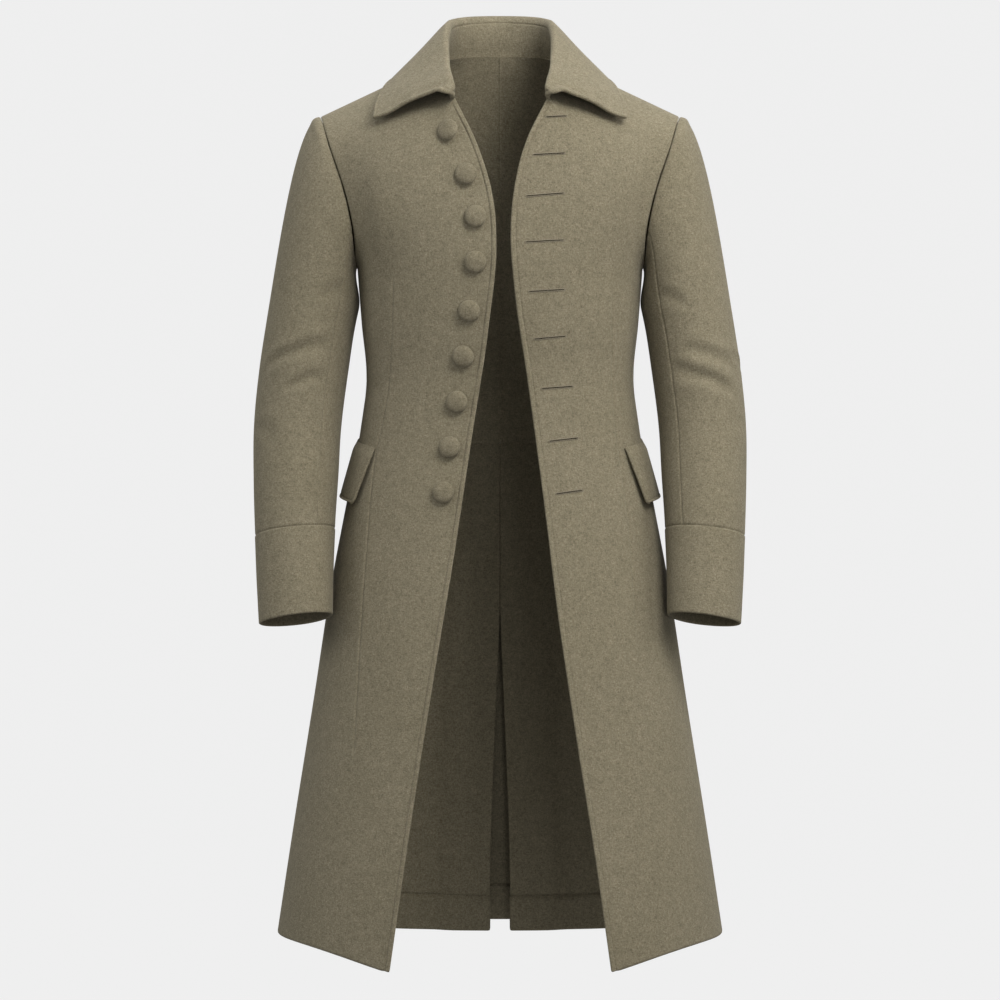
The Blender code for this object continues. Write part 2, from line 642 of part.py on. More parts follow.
def buttons(front):
    """Nine domed cloth-covered buttons seated along the wearer's right front edge."""
    points, normals = front
    rows, columns = points.shape[:2]
    vertices = [Vector(p) for p in (points * np.array([-1, 1, 1])).reshape(-1, 3)]
    at = np.arange(rows * columns).reshape(rows, columns)
    faces = [(int(at[r, c]), int(at[r, c + 1]), int(at[r + 1, c + 1]), int(at[r + 1, c]))
             for r in range(rows - 1) for c in range(columns - 1)]
    cloth = BVHTree.FromPolygons(vertices, faces)
    for number, (height, x) in enumerate(BUTTONS, 1):
        seat, facing, _, _ = cloth.ray_cast(Vector((x, -1.0, height)), Vector((0, 1, 0)))
        facing = facing if facing.y < 0 else -facing
        turn = facing.to_track_quat("Z", "Y").to_matrix()
        base = seat + facing * BUTTON_SEAT
        ring_points = []
        for radius, rise in BUTTON_PROFILE:
            for k in range(BUTTON_SIDES):
                angle = 2 * math.pi * k / BUTTON_SIDES
                local = Vector((radius * math.cos(angle), radius * math.sin(angle), rise))
                ring_points.append(base + turn @ local)
        count = len(BUTTON_PROFILE)
        ring_points.append(base)
        ring_points.append(base + facing * BUTTON_TOP)
        bottom, top = count * BUTTON_SIDES, count * BUTTON_SIDES + 1
        shell = []
        for k in range(BUTTON_SIDES):
            n = (k + 1) % BUTTON_SIDES
            shell.append((bottom, n, k))
            shell.append((top, (count - 1) * BUTTON_SIDES + k, (count - 1) * BUTTON_SIDES + n))
            for r in range(count - 1):
                low, high = r * BUTTON_SIDES, (r + 1) * BUTTON_SIDES
                shell.append((low + k, low + n, high + n, high + k))
        add_object(f"button_{number}", ring_points, shell)


def main():
    """Clears the scene and builds the coat."""
    for old in list(bpy.data.objects):
        bpy.data.objects.remove(old)
    fronts, back = body_panels()
    pleat()
    sleeves(fronts, back)
    collar(fronts, back)
    pocket_flaps()
    buttons(fronts["right"])


main()
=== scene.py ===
"""Looks of a long fitted wool coat, open in front and filled out with no wearer.

Every cloth piece is a thin shell on the form of its solid: lines across the piece are worked out
from the same sizes as the solid, walked at chosen distances from the edges, pressed in at seams,
darts and creases, and closed into a wall with rolled edges.
"""
import math

import bpy
import numpy as np
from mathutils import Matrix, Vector
from mathutils.bvhtree import BVHTree


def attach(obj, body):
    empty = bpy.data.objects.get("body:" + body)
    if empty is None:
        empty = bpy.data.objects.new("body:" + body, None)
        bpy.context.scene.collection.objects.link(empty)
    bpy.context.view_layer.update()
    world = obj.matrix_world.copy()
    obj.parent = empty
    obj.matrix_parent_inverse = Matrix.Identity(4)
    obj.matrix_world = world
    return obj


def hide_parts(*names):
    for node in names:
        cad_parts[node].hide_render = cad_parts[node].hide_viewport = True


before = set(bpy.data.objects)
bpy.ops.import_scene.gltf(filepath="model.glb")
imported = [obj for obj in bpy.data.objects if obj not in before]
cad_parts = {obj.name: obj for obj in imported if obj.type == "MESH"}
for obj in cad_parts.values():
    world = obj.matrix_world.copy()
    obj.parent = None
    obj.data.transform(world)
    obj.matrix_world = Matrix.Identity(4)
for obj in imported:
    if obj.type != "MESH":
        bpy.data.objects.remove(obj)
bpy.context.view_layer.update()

# Cloth
WALL = 0.0030
COLLAR_WALL = 0.0032
FLAP_WALL = 0.0036
EDGE_INSET = 0.0015
STITCH_IN = 0.0060
SIDES = ((1, "left"), (-1, "right"))
MIRROR = np.array([-1.0, 1.0, 1.0])

# Heights of the landmarks, from the shoulder neck points down
UNDERARM = -0.258
WAIST = -0.471
HEM = -1.085
HEM_SIDE_LIFT = 0.012
HEM_DIP_FRONT = 0.0255
HEM_DIP_BACK = 0.0225
HEM_FRONT_POWER = 4.9
HEM_BACK_POWER = 2.0
HEM_DEPTH = 0.200
HEM_TURN = 0.043

# Body rings: height, half width at the side seam, depth in front, depth behind
BODY = (
    (-1.110, 0.2775, 0.229, 0.202),
    (-0.957, 0.2549, 0.205, 0.176),
    (-0.790, 0.2290, 0.174, 0.148),
    (-0.642, 0.2068, 0.148, 0.125),
    (-0.549, 0.1895, 0.132, 0.111),
    (-0.457, 0.1722, 0.118, 0.100),
    (-0.390, 0.1648, 0.116, 0.099),
    (-0.327, 0.1705, 0.123, 0.107),
    (-0.250, 0.1765, 0.129, 0.117),
)
SQUARENESS = 2.2

# Front edges seen from the front: height, distance of the edge from the middle
EDGE_RIGHT = (
    (-1.105, -0.1312), (-0.969, -0.1118), (-0.757, -0.0792), (-0.615, -0.0558), (-0.471, -0.0343),
    (-0.327, -0.0126), (-0.237, -0.0042), (-0.183, -0.0078), (-0.110, -0.0290), (-0.058, -0.0540),
)
EDGE_LEFT = (
    (-1.105, 0.1322), (-0.969, 0.1130), (-0.828, 0.0909), (-0.686, 0.0699), (-0.543, 0.0524),
    (-0.399, 0.0331), (-0.291, 0.0174), (-0.218, 0.0126), (-0.183, 0.0150), (-0.109, 0.0319),
    (-0.058, 0.0565),
)

# Long dart seams of the fronts: height, distance from the middle
DART_RIGHT = (
    (-0.890, 0.1775), (-0.722, 0.1693), (-0.615, 0.1626), (-0.482, 0.1500), (-0.425, 0.1385),
    (-0.346, 0.1318), (-0.256, 0.1290),
)
DART_LEFT = (
    (-0.760, 0.1680), (-0.664, 0.1626), (-0.555, 0.1538), (-0.441, 0.1392), (-0.346, 0.1358),
    (-0.272, 0.1380),
)

# Neck, shoulder and armhole
NECK_FRONT = (-0.100, -0.058)
NECK_FRONT_MIDDLE = (0.0735, -0.050, -0.031)
NECK_SHOULDER = (0.078, 0.010, 0.0)
NECK_BACK = (0.0, 0.085, 0.0145)
BACK_SEAM_DEPTHS = (0.121, 0.112)
SHOULDER_END = (0.2216, 0.005, -0.070)
ARMHOLE = (
    SHOULDER_END,
    (0.2177, -0.025, -0.080),
    (0.2080, -0.052, -0.112),
    (0.1900, -0.066, -0.166),
    (0.1800, -0.062, -0.212),
    (0.1770, -0.036, -0.246),
    (0.1765, 0.000, UNDERARM),
    (0.1765, 0.036, -0.246),
    (0.1785, 0.062, -0.210),
    (0.1875, 0.068, -0.165),
    (0.2030, 0.058, -0.116),
    (0.2165, 0.033, -0.082),
)
FRONT_ARMHOLE_ANGLES = (180, 162.5, 145, 128, 112, 96, 80, 64, 48, 32, 16, 0)
BACK_ARMHOLE_ANGLES = (180, 198, 216.5, 235, 252, 270, 288, 306, 324, 342, 360)
EDGE_ROWS = 5
INSEAM_ANGLE = 128
HIND_SEAM_ANGLE = 235

# Sleeve rings: height, centre x, centre y, half width, half depth, fall to the back, fall outwards
SLEEVE = (
    (-0.308, 0.2302, 0.002, 0.0557, 0.070, 0.00, 0.00),
    (-0.327, 0.2337, 0.001, 0.0552, 0.0692, 0.00, 0.00),
    (-0.383, 0.2420, -0.002, 0.0550, 0.067, 0.02, 0.00),
    (-0.457, 0.2494, -0.012, 0.0537, 0.064, 0.06, 0.02),
    (-0.512, 0.2502, -0.027, 0.0521, 0.061, 0.10, 0.06),
    (-0.582, 0.2503, -0.048, 0.0487, 0.057, 0.14, 0.10),
    (-0.640, 0.2487, -0.065, 0.0462, 0.054, 0.155, 0.12),
    (-0.688, 0.2470, -0.078, 0.0445, 0.052, 0.16, 0.13),
)
CUFF_SEAM = -0.582
CUFF_END = -0.688
CUFF_EXTRA = 0.0004
HEAD_ROLL = 0.0016

# Direction in which the sleeve leaves the armhole: outwards and up at the shoulder end, the same under
# the arm, and its turn to the front or back between them
LEAVE_TOP = (0.99, -0.09)
LEAVE_UNDER = (0.49, -0.87)
LEAVE_SIDES = 0.55

# Sleeve creases: start angle and height, end angle and height, depth, half width. Wearer's right, then left
CREASES_RIGHT = (
    (38, -0.379, 124, -0.352, 0.0036, 0.0078),
    (72, -0.409, 122, -0.392, 0.0032, 0.0066),
    (98, -0.300, 135, -0.285, 0.0018, 0.0085),
    (20, -0.452, 66, -0.470, 0.0013, 0.0095),
    (225, -0.372, 300, -0.360, 0.0032, 0.0080),
    (240, -0.410, 285, -0.402, 0.0024, 0.0070),
)
CREASES_LEFT = (
    (32, -0.381, 106, -0.3615, 0.0033, 0.0080),
    (42, -0.412, 125, -0.384, 0.0040, 0.0082),
    (4, -0.3825, 50, -0.365, 0.0020, 0.0052),
    (90, -0.310, 130, -0.292, 0.0016, 0.0085),
    (26, -0.446, 70, -0.462, 0.0010, 0.0090),
    (230, -0.380, 295, -0.366, 0.0032, 0.0080),
    (245, -0.425, 290, -0.412, 0.0020, 0.0070),
)

# Collar from the front end (0) over the centre back (1): place, roll x, y, z, outer edge x, y, z
COLLAR = (
    (0.00, 0.0790, -0.1120, -0.0485, 0.1545, -0.080, -0.0785),
    (0.06, 0.0665, -0.1075, -0.0425, 0.1541, -0.074, -0.0731),
    (0.14, 0.0645, -0.1000, -0.0330, 0.1535, -0.066, -0.0660),
    (0.30, 0.0664, -0.0660, -0.0090, 0.1490, -0.042, -0.0480),
    (0.545, 0.0668, 0.0000, 0.0415, 0.1350, 0.012, -0.0235),
    (0.77, 0.0535, 0.0640, 0.0605, 0.1070, 0.084, -0.0120),
    (1.00, 0.0000, 0.0955, 0.0670, 0.0000, 0.118, -0.0080),
    (1.23, -0.0535, 0.0640, 0.0605, -0.1070, 0.084, -0.0120),
)
COLLAR_ROLL_RADIUS = 0.0052
COLLAR_END_ROLL = 0.0055
COLLAR_END_REACH = 0.25
COLLAR_HOLLOW = 0.0030
COLLAR_FALL_BULGE = 0.0010
COLLAR_STAND_BULGE = 0.0035
COLLAR_END_BULGE = 0.0030
COLLAR_RIM = 0.0014
COLLAR_STITCH_IN = 0.0045
COLLAR_NECK_X = 0.0552
COLLAR_PRESS = 0.0007
COLLAR_DEPTH = 0.140
STAND_STITCH = 0.0125
STAND_PRESS = 0.0009
STAND_AROUND = (-0.003, -0.0016, -0.0008, 0.0, 0.0008, 0.0016, 0.003)
ROLL_AT = 60

# Pocket flaps, along the ring from the side seam: back end positive
FLAP_FRONT_TOP = -0.0765
FLAP_FRONT_BOTTOM = -0.066
FLAP_BACK = 0.082
FLAP_TOP = -0.4805
FLAP_BOTTOM = -0.5520
FLAP_RISE = 0.15
FLAP_LIFT_TOP = 0.0003
FLAP_LIFT_BOTTOM = 0.0052
FLAP_CORNER = 0.0050
FLAP_LENGTH = 0.070
FLAP_STITCH_IN = 0.0045
FLAP_RIM = 0.0005
FLAP_PRESS = 0.0008

# Centre back pleat
PLEAT_HALF_WAIST = 0.045
PLEAT_HALF_HEM = 0.058
PLEAT_HEM = -1.084
PLEAT_STEP_IN = 0.0086
PLEAT_STEP_WIDTH = 0.030
PLEAT_STEP_FADE = 0.070
PLEAT_DEPTH_WAIST = 0.0080
PLEAT_DEPTH_HEM = 0.036
PLEAT_GAP_START = -0.67
PLEAT_GAP_HEM = 0.0133

# Buttons on the wearer's right front: height and distance from the middle. Then how far each is tipped
# to the wearer's right, in degrees, and a profile of radius and height
BUTTONS = (
    (-0.0985, -0.0600), (-0.1515, -0.0398), (-0.2025, -0.0290), (-0.2570, -0.0294),
    (-0.3155, -0.0366), (-0.3700, -0.0438), (-0.4250, -0.0510), (-0.4800, -0.0595),
    (-0.5345, -0.0672),
)
BUTTON_TILTS = (22, 13, 4, 0, 0, 2, 3, 3, 2)
BUTTON_RADIUS = 0.0132
BUTTON_PROFILE = (
    (0.0, 0.0), (0.0048, 0.0), (0.0080, 0.0010), (0.0112, 0.0012), (0.0128, 0.0024), (0.0132, 0.0038),
    (0.0129, 0.0051), (0.0119, 0.0064), (0.0098, 0.0077), (0.0068, 0.0086), (0.0034, 0.0091), (0.0, 0.0092),
)

# Buttonholes on the wearer's left front: height and distance of the inner end, outer end, rise
BUTTONHOLES = (
    (-0.0809, 0.0560, 0.0802, 0.0020), (-0.1274, 0.0403, 0.0776, 0.0022), (-0.1778, 0.0319, 0.0764, 0.0039),
    (-0.2332, 0.0310, 0.0764, 0.0028), (-0.2927, 0.0350, 0.0776, 0.0029), (-0.3494, 0.0415, 0.0788, 0.0036),
    (-0.4090, 0.0504, 0.0876, 0.0031), (-0.4724, 0.0596, 0.0933, 0.0040), (-0.5358, 0.0676, 0.0993, 0.0044),
)

# Lights: name, place, aim, size, power, colour
WARM = (1.0, 0.985, 0.955)
COOL = (0.98, 0.99, 1.0)
WHITE = (1.0, 1.0, 1.0)
LIGHTS = (
    ("key", (0.9, -1.5, 1.05), (0.0, 0.0, -0.22), 0.9, 33, WARM),
    ("right_side", (2.5, -1.0, 0.3), (0.0, 0.0, -0.5), 1.2, 19, WARM),
    ("left_side", (-2.5, -1.0, 0.3), (0.0, 0.0, -0.5), 1.2, 15, COOL),
    ("low_front", (0.9, -4.0, -0.4), (0.0, 0.0, -0.6), 0.9, 15, WHITE),
    ("overhead", (0.0, 0.6, 1.8), (0.0, 0.0, -0.1), 1.4, 17, WHITE),
    ("front_overhead", (0.0, -0.9, 1.6), (0.0, 0.0, -0.2), 1.2, 8, WHITE),
)

# View of the photograph
CAMERA_PLACE = (0.0, -4.6, -0.543)
CAMERA_LENS = 134.14
FLOOR = -1.50
BACKDROP = (0.852, 0.852, 0.852, 1.0)


# Curves and lines


def smooth(knots, values, at):
    """Cubic curve through rows of values at rising knots, with slopes taken from the neighbours."""
    knots = np.asarray(knots, float)
    values = np.asarray(values, float)
    at = np.clip(np.asarray(at, float), knots[0], knots[-1])
    slopes = np.gradient(values, knots, axis=0)
    i = np.clip(np.searchsorted(knots, at) - 1, 0, len(knots) - 2)
    span = knots[i + 1] - knots[i]
    t = (at - knots[i]) / span
    if values.ndim > 1:
        t = t[..., None]
        span = span[..., None]
    return ((2 * t**3 - 3 * t**2 + 1) * values[i] + (t**3 - 2 * t**2 + t) * span * slopes[i]
            + (3 * t**2 - 2 * t**3) * values[i + 1] + (t**3 - t**2) * span * slopes[i + 1])


def table(rows, at):
    """Reads a table whose first column is the knot and whose other columns are the values."""
    rows = np.asarray(sorted(rows), float)
    values = rows[:, 1] if rows.shape[1] == 2 else rows[:, 1:]
    return smooth(rows[:, 0], values, at)


def unit(vectors):
    """Vectors of length one."""
    return vectors / np.maximum(np.linalg.norm(vectors, axis=-1, keepdims=True), 1e-12)


def ease(t):
    """Soft step from 0 to 1."""
    t = np.clip(t, 0.0, 1.0)
    return t * t * (3 - 2 * t)


def bell(distance, width):
    """1 at no distance, falling away as a bell curve of this half width."""
    return np.exp(-(distance / width) ** 2)


def lengths(lines):
    """Length along each line at each of its points."""
    steps = np.linalg.norm(np.diff(lines, axis=1), axis=2)
    return np.concatenate([np.zeros((len(lines), 1)), np.cumsum(steps, axis=1)], axis=1)


def walk(lines, distances):
    """Points of each line at the given distances along it, by straight steps between its points."""
    run = lengths(lines)
    distances = np.clip(distances, 0, run[:, -1:])
    i = np.clip((run[:, None, :] <= distances[:, :, None]).sum(axis=2) - 1, 0, run.shape[1] - 2)
    rows = np.arange(len(lines))[:, None]
    start = run[rows, i]
    share = (distances - start) / np.maximum(run[rows, i + 1] - start, 1e-12)
    return lines[rows, i] * (1 - share)[..., None] + lines[rows, i + 1] * share[..., None]


def between(at, places, rows, period=None):
    """Rows of three values read at places between the known ones."""
    return np.stack([np.interp(at, places, rows[:, k], period=period) for k in range(3)], axis=1)


def along(points, fractions):
    """Points at these fractions of the length of one line."""
    points = np.asarray(points, float)[None]
    return walk(points, np.asarray(fractions, float)[None] * lengths(points)[0, -1])[0]


def stations(lines, start, end, middle, knots=None, around=None):
    """Distances across each line: close steps at both ends, even ones between, and close ones at a knot."""
    total = lengths(lines)[:, -1:]
    start = np.asarray(start)[None, :] + 0 * total
    end = total - np.asarray(end)[None, :]
    parts = [start]
    if knots is None:
        gap = np.linspace(0, 1, middle + 2)[None, 1:-1]
        parts.append(start[:, -1:] + (end[:, :1] - start[:, -1:]) * gap)
    else:
        near = knots[:, None] + np.asarray(around)[None, :]
        first = int(middle * 0.62)
        gap = np.linspace(0, 1, first + 2)[None, 1:-1]
        parts.append(start[:, -1:] + (near[:, :1] - start[:, -1:]) * gap)
        parts.append(near)
        gap = np.linspace(0, 1, middle - first + 2)[None, 1:-1]
        parts.append(near[:, -1:] + (end[:, :1] - near[:, -1:]) * gap)
    parts.append(end)
    return np.concatenate(parts, axis=1)


def close_steps(start, stop, count, near_start=(), near_stop=()):
    """Rising values from start to stop, with extra ones at small offsets from either end."""
    values = np.concatenate([np.linspace(start, stop, count), start + np.array(near_start),
                             stop - np.array(near_stop)])
    return np.unique(np.round(values, 7))


def grid_normals(points, outward, wrap=False):
    """Unit normals of a grid from its two directions, on the side of the outward vectors."""
    if wrap:
        padded = np.concatenate([points[:, -1:], points, points[:, :1]], axis=1)
        along_u = padded[:, 2:] - padded[:, :-2]
    else:
        along_u = np.gradient(points, axis=1)
    normals = unit(np.cross(along_u, np.gradient(points, axis=0)))
    return normals if np.sum(normals * outward) > 0 else -normals


def from_axis(points):
    """Horizontal vectors from the middle line of the body."""
    return points * np.array([1.0, 1.0, 0.0])


# Form of the body


def below_waist(height):
    """0 at the waist seam and above, 1 at the hem."""
    return np.clip((WAIST - height) / (WAIST - HEM), 0.0, 1.0)


def ring(height, start_x, back, count=120):
    """Arcs |x/a|^n + |y/b|^n = 1 at each height, from a distance start_x off the middle to the side seam.
    Below the waist they dip towards the front and back middle, as the hem does."""
    height = np.atleast_1d(np.asarray(height, float))
    half_width, front, behind = table(BODY, height).T[:, :, None]
    start = np.arcsin(np.clip((np.atleast_1d(start_x)[:, None] / half_width) ** (SQUARENESS / 2), 0, 1))
    angle = start + (math.pi / 2 - start) * np.linspace(0, 1, count)[None, :]
    x = half_width * np.sin(angle) ** (2 / SQUARENESS)
    reach = np.clip(np.cos(angle), 0, 1) ** (2 / SQUARENESS)
    y = behind * reach if back else -front * reach
    dip, power = (HEM_DIP_BACK, HEM_BACK_POWER) if back else (HEM_DIP_FRONT, HEM_FRONT_POWER)
    drop = (HEM_SIDE_LIFT - dip * (np.abs(y) / HEM_DEPTH) ** power) * below_waist(height)[:, None]
    return np.stack([x, y, height[:, None] + drop], axis=2)


def armhole(angles):
    """Armhole points: 0 degrees at the shoulder end, 90 in front, 180 under the arm, 270 behind."""
    loop = np.array(ARMHOLE[-3:] + ARMHOLE + ARMHOLE[:4])
    dense = smooth(np.arange(len(loop)) - 3.0, loop, np.linspace(0, len(ARMHOLE), 481))
    angles = np.asarray(angles, float)
    front = along(dense[:241], np.clip(angles, 0, 180) / 180)
    behind = along(dense[240:], np.clip(angles - 180, 0, 180) / 180)
    return np.where(angles[:, None] <= 180, front, behind)


def neckline_front(edge_x):
    """Neckline from the front neck point to the shoulder neck point."""
    points = ((edge_x, *NECK_FRONT), NECK_FRONT_MIDDLE, NECK_SHOULDER)
    return smooth((0.0, 0.5, 1.0), points, np.linspace(0, 1, 80))


def neckline_back():
    """Neckline from the centre back to the shoulder neck point, a quarter of an oval."""
    t = np.linspace(0, math.pi / 2, 80)
    x = NECK_SHOULDER[0] * np.sin(t)
    y = NECK_SHOULDER[1] + (NECK_BACK[1] - NECK_SHOULDER[1]) * np.clip(np.cos(t), 0, 1) ** 0.9
    z = NECK_BACK[2] * np.clip(np.cos(t), 0, 1) ** 1.2
    return np.stack([x, y, z], axis=1)


def add_upper_lines(lower, edge, neck, ranks, angles):
    """Adds the lines above the underarm: chords from the edge, and then from the neck, to the armhole,
    bulged like the underarm line, less and less up to the shoulder seam."""
    last = len(angles) - 1
    inner = np.where(ranks[:, None] <= EDGE_ROWS, edge, neck)
    outer = armhole(np.interp(ranks, np.arange(last + 1), angles))
    count = lower.shape[1]
    even = along(lower[-1], np.linspace(0, 1, count))
    u = np.linspace(0, 1, count)[None, :, None]
    bulge = even[None] - (even[None, :1] * (1 - u) + even[None, -1:] * u)
    chord = inner[:, None] * (1 - u) + outer[:, None] * u
    return np.concatenate([lower, chord + bulge * ((1 - ranks / last) ** 1.25)[:, None, None]])


def front_lines(edge_rows, heights, ranks):
    """Lines across a front panel as if at +X: rings up to the underarm, then lines to the armhole.
    Rank 0 is the underarm, 5 the front neck point and 11 the shoulder seam."""
    first = ring(heights, np.abs(table(edge_rows, heights)), False)
    lower = ring(heights, np.abs(table(edge_rows, first[:, 0, 2])), False)
    share = np.clip(ranks / EDGE_ROWS, 0, 1)
    edge_z = UNDERARM + (NECK_FRONT[1] - UNDERARM) * share
    edge_x = np.abs(table(edge_rows, edge_z))
    low_y = lower[-1, 0, 1]
    edge = np.stack([edge_x, low_y + (NECK_FRONT[0] - low_y) * share**1.6, edge_z], axis=1)
    neck_x = abs(float(table(edge_rows, NECK_FRONT[1])))
    neck = along(neckline_front(neck_x), np.clip((ranks - EDGE_ROWS) / (11 - EDGE_ROWS), 0, 1))
    return add_upper_lines(lower, edge, neck, ranks, FRONT_ARMHOLE_ANGLES)


def pleat_gap(height):
    """Half the gap between the back skirt edges."""
    return PLEAT_GAP_HEM * ease((PLEAT_GAP_START - height) / (PLEAT_GAP_START - HEM)) ** 0.7


def back_lines(heights, ranks):
    """Lines across an upper back as if at +X. Rank 5 is the centre back neck and 10 the shoulder seam."""
    lower = ring(heights, 0 * heights, True)
    share = np.clip(ranks / EDGE_ROWS, 0, 1)
    seam_y = smooth((0, 0.35, 0.7, 1), (lower[-1, 0, 1], *BACK_SEAM_DEPTHS, NECK_BACK[1]), share)
    seam = np.stack([0 * share, seam_y, UNDERARM + (NECK_BACK[2] - UNDERARM) * share], axis=1)
    neck = along(neckline_back(), np.clip((ranks - EDGE_ROWS) / (10 - EDGE_ROWS), 0, 1))
    return add_upper_lines(lower, seam, neck, ranks, BACK_ARMHOLE_ANGLES)


# Walls of cloth


def inward(edge, normals, neighbours):
    """Unit directions in the cloth, square to its edge, that point from the edge into the panel."""
    into = unit(np.cross(np.gradient(edge, axis=0), normals))
    return into if np.sum(into * (neighbours - edge)) > 0 else -into


def grid_quads(rows, columns, around=False):
    """Four-cornered faces of a grid whose points are numbered row by row; around joins its last column
    to its first."""
    at = np.arange(rows * columns).reshape(rows, columns)
    left, right = (at, np.roll(at, -1, axis=1)) if around else (at[:, :-1], at[:, 1:])
    return np.stack([left[:-1], right[:-1], right[1:], left[1:]], axis=2).reshape(-1, 4)


def mesh_object(name, vertices, faces, material):
    """Mesh object from arrays, its faces turned outwards, riding on the coat."""
    a, b, c = vertices[faces[:, 0]], vertices[faces[:, 1]], vertices[faces[:, 2]]
    volume = np.sum(a * np.cross(b, c))
    if faces.shape[1] == 4:
        volume += np.sum(a * np.cross(c, vertices[faces[:, 3]]))
    if volume < 0:
        faces = faces[:, ::-1]
    mesh = bpy.data.meshes.new(name)
    mesh.vertices.add(len(vertices))
    mesh.vertices.foreach_set("co", np.ascontiguousarray(vertices, dtype=np.float32).ravel())
    sides = faces.shape[1]
    mesh.loops.add(len(faces) * sides)
    mesh.loops.foreach_set("vertex_index", np.ascontiguousarray(faces, dtype=np.int32).ravel())
    mesh.polygons.add(len(faces))
    mesh.polygons.foreach_set("loop_start", np.arange(len(faces), dtype=np.int32) * sides)
    mesh.update(calc_edges=True)
    mesh.validate()
    mesh.shade_smooth()
    piece = bpy.data.objects.new(name, mesh)
    piece.data.materials.append(material)
    bpy.context.scene.collection.objects.link(piece)
    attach(piece, "root")
    return piece


ROLL_ANGLES = np.radians([36, 72, 108, 144])
SEAM_ROLL = 0.00012


def wall(points, normals, thickness, free, side=1, wrap=False):
    """Vertices and faces of a closed cloth wall: the outer grid, the same grid moved in, and between
    their borders a half-round roll on free edges or a flat butt at seams. Side -1 mirrors it to -X."""
    thickness = np.broadcast_to(thickness, points.shape[:2])[..., None]
    inner = points - normals * thickness
    rows, columns = points.shape[:2]
    count = rows * columns
    at = np.arange(count).reshape(rows, columns)
    out = np.zeros_like(points)
    roll = np.zeros((rows, columns))
    sides = {"bottom": (0, slice(None), 1), "top": (-1, slice(None), -2)}
    if not wrap:
        sides.update(left=(slice(None), 0, 1), right=(slice(None), -1, -2))
    for name, (r, c, n) in sides.items():
        neighbour = points[n] if name in ("bottom", "top") else points[:, n]
        out[r, c] -= inward(points[r, c], normals[r, c], neighbour)
        size = thickness[r, c, 0] / 2 if name in free else SEAM_ROLL
        roll[r, c] = np.maximum(roll[r, c], size)
    out = unit(out)
    quads = grid_quads(rows, columns, wrap)
    if wrap:
        borders = [at[0, :], at[-1, ::-1]]
    else:
        borders = [np.concatenate([at[0], at[1:, -1], at[-1, -2::-1], at[-2:0:-1, 0]])]
    flat_outer, flat_inner = points.reshape(-1, 3), inner.reshape(-1, 3)
    flat_out, flat_roll = out.reshape(-1, 3), roll.reshape(-1, 1)
    vertices = [flat_outer, flat_inner]
    faces = [quads, quads[:, ::-1] + count]
    made = 2 * count
    for border in borders:
        middle = (flat_outer[border] + flat_inner[border]) / 2
        reach = flat_outer[border] - middle
        levels = [border]
        for angle in ROLL_ANGLES:
            vertices.append(middle + reach * math.cos(angle)
                            + flat_out[border] * flat_roll[border] * math.sin(angle))
            levels.append(made + np.arange(len(border)))
            made += len(border)
        levels.append(border + count)
        for upper, lower in zip(levels[:-1], levels[1:]):
            faces.append(np.stack([np.roll(upper, -1), upper, lower, np.roll(lower, -1)], axis=1))
    vertices = np.concatenate(vertices) * np.array([side, 1.0, 1.0])
    return vertices, np.concatenate(faces)


def grid_area(points):
    """Area of a grid, from its quads' diagonals."""
    one = points[1:, 1:] - points[:-1, :-1]
    two = points[1:, :-1] - points[:-1, 1:]
    return float(np.linalg.norm(np.cross(one, two), axis=2).sum() / 2)


def cloth(name, nodes, points, normals, thickness, free, side=1, wrap=False):
    """One piece of cloth that stands for CAD nodes and hides them; its area is worked out but not kept."""
    vertices, faces = wall(points, normals, thickness, free, side, wrap)
    piece = mesh_object(name, vertices, faces, WOOL)
    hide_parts(*nodes)
    closed = np.concatenate([points, points[:, :1]], axis=1) if wrap else points
    round(grid_area(closed), 3)
    return piece


# Sewing


STITCH_STEP = 0.0034
STITCH_LENGTH = 0.0023
STITCH_RADIUS = 0.00032
STITCH_SINK = 0.00005


def stitches(path, normals):
    """A row of stitches along a line on the cloth: each one a slim diamond-shaped float of thread,
    its ends sunk into the cloth."""
    run = lengths(path[None])[0]
    count = int(run[-1] / STITCH_STEP)
    starts = (np.arange(count) + 0.2) * STITCH_STEP
    first = walk(path[None], starts[None])[0]
    last = walk(path[None], starts[None] + STITCH_LENGTH)[0]
    up = unit(between(starts, run, normals))
    ahead = unit(last - first)
    across = unit(np.cross(ahead, up))
    middle = (first + last) / 2 + up * STITCH_SINK
    corners = [first - up * STITCH_RADIUS, last - up * STITCH_RADIUS]
    for turn in np.radians([0, 60, 120, 180, 240, 300]):
        corners.append(middle + (across * math.cos(turn) + up * math.sin(turn)) * STITCH_RADIUS)
    vertices = np.stack(corners, axis=1).reshape(-1, 3)
    ring_at = np.arange(6)
    caps = np.concatenate([
        np.stack([0 * ring_at, 2 + ring_at, 2 + (ring_at + 1) % 6], axis=1),
        np.stack([1 + 0 * ring_at, 2 + (ring_at + 1) % 6, 2 + ring_at], axis=1),
    ])
    faces = (caps[None] + (np.arange(count) * 8)[:, None, None]).reshape(-1, 3)
    return vertices, faces


def sew(name, rows):
    """One piece from several rows of stitches."""
    vertices, faces, made = [], [], 0
    for points, normals in rows:
        v, f = stitches(points, normals)
        vertices.append(v)
        faces.append(f + made)
        made += len(v)
    return mesh_object(name, np.concatenate(vertices), np.concatenate(faces), THREAD)


# Materials


def add_node(tree, kind, values=(), feeds=()):
    """Adds a shader node, sets some of its inputs to values and feeds others from sockets."""
    made = tree.nodes.new("ShaderNode" + kind)
    for socket, value in values:
        made.inputs[socket].default_value = value
    for socket, source in feeds:
        tree.links.new(source, made.inputs[socket])
    return made


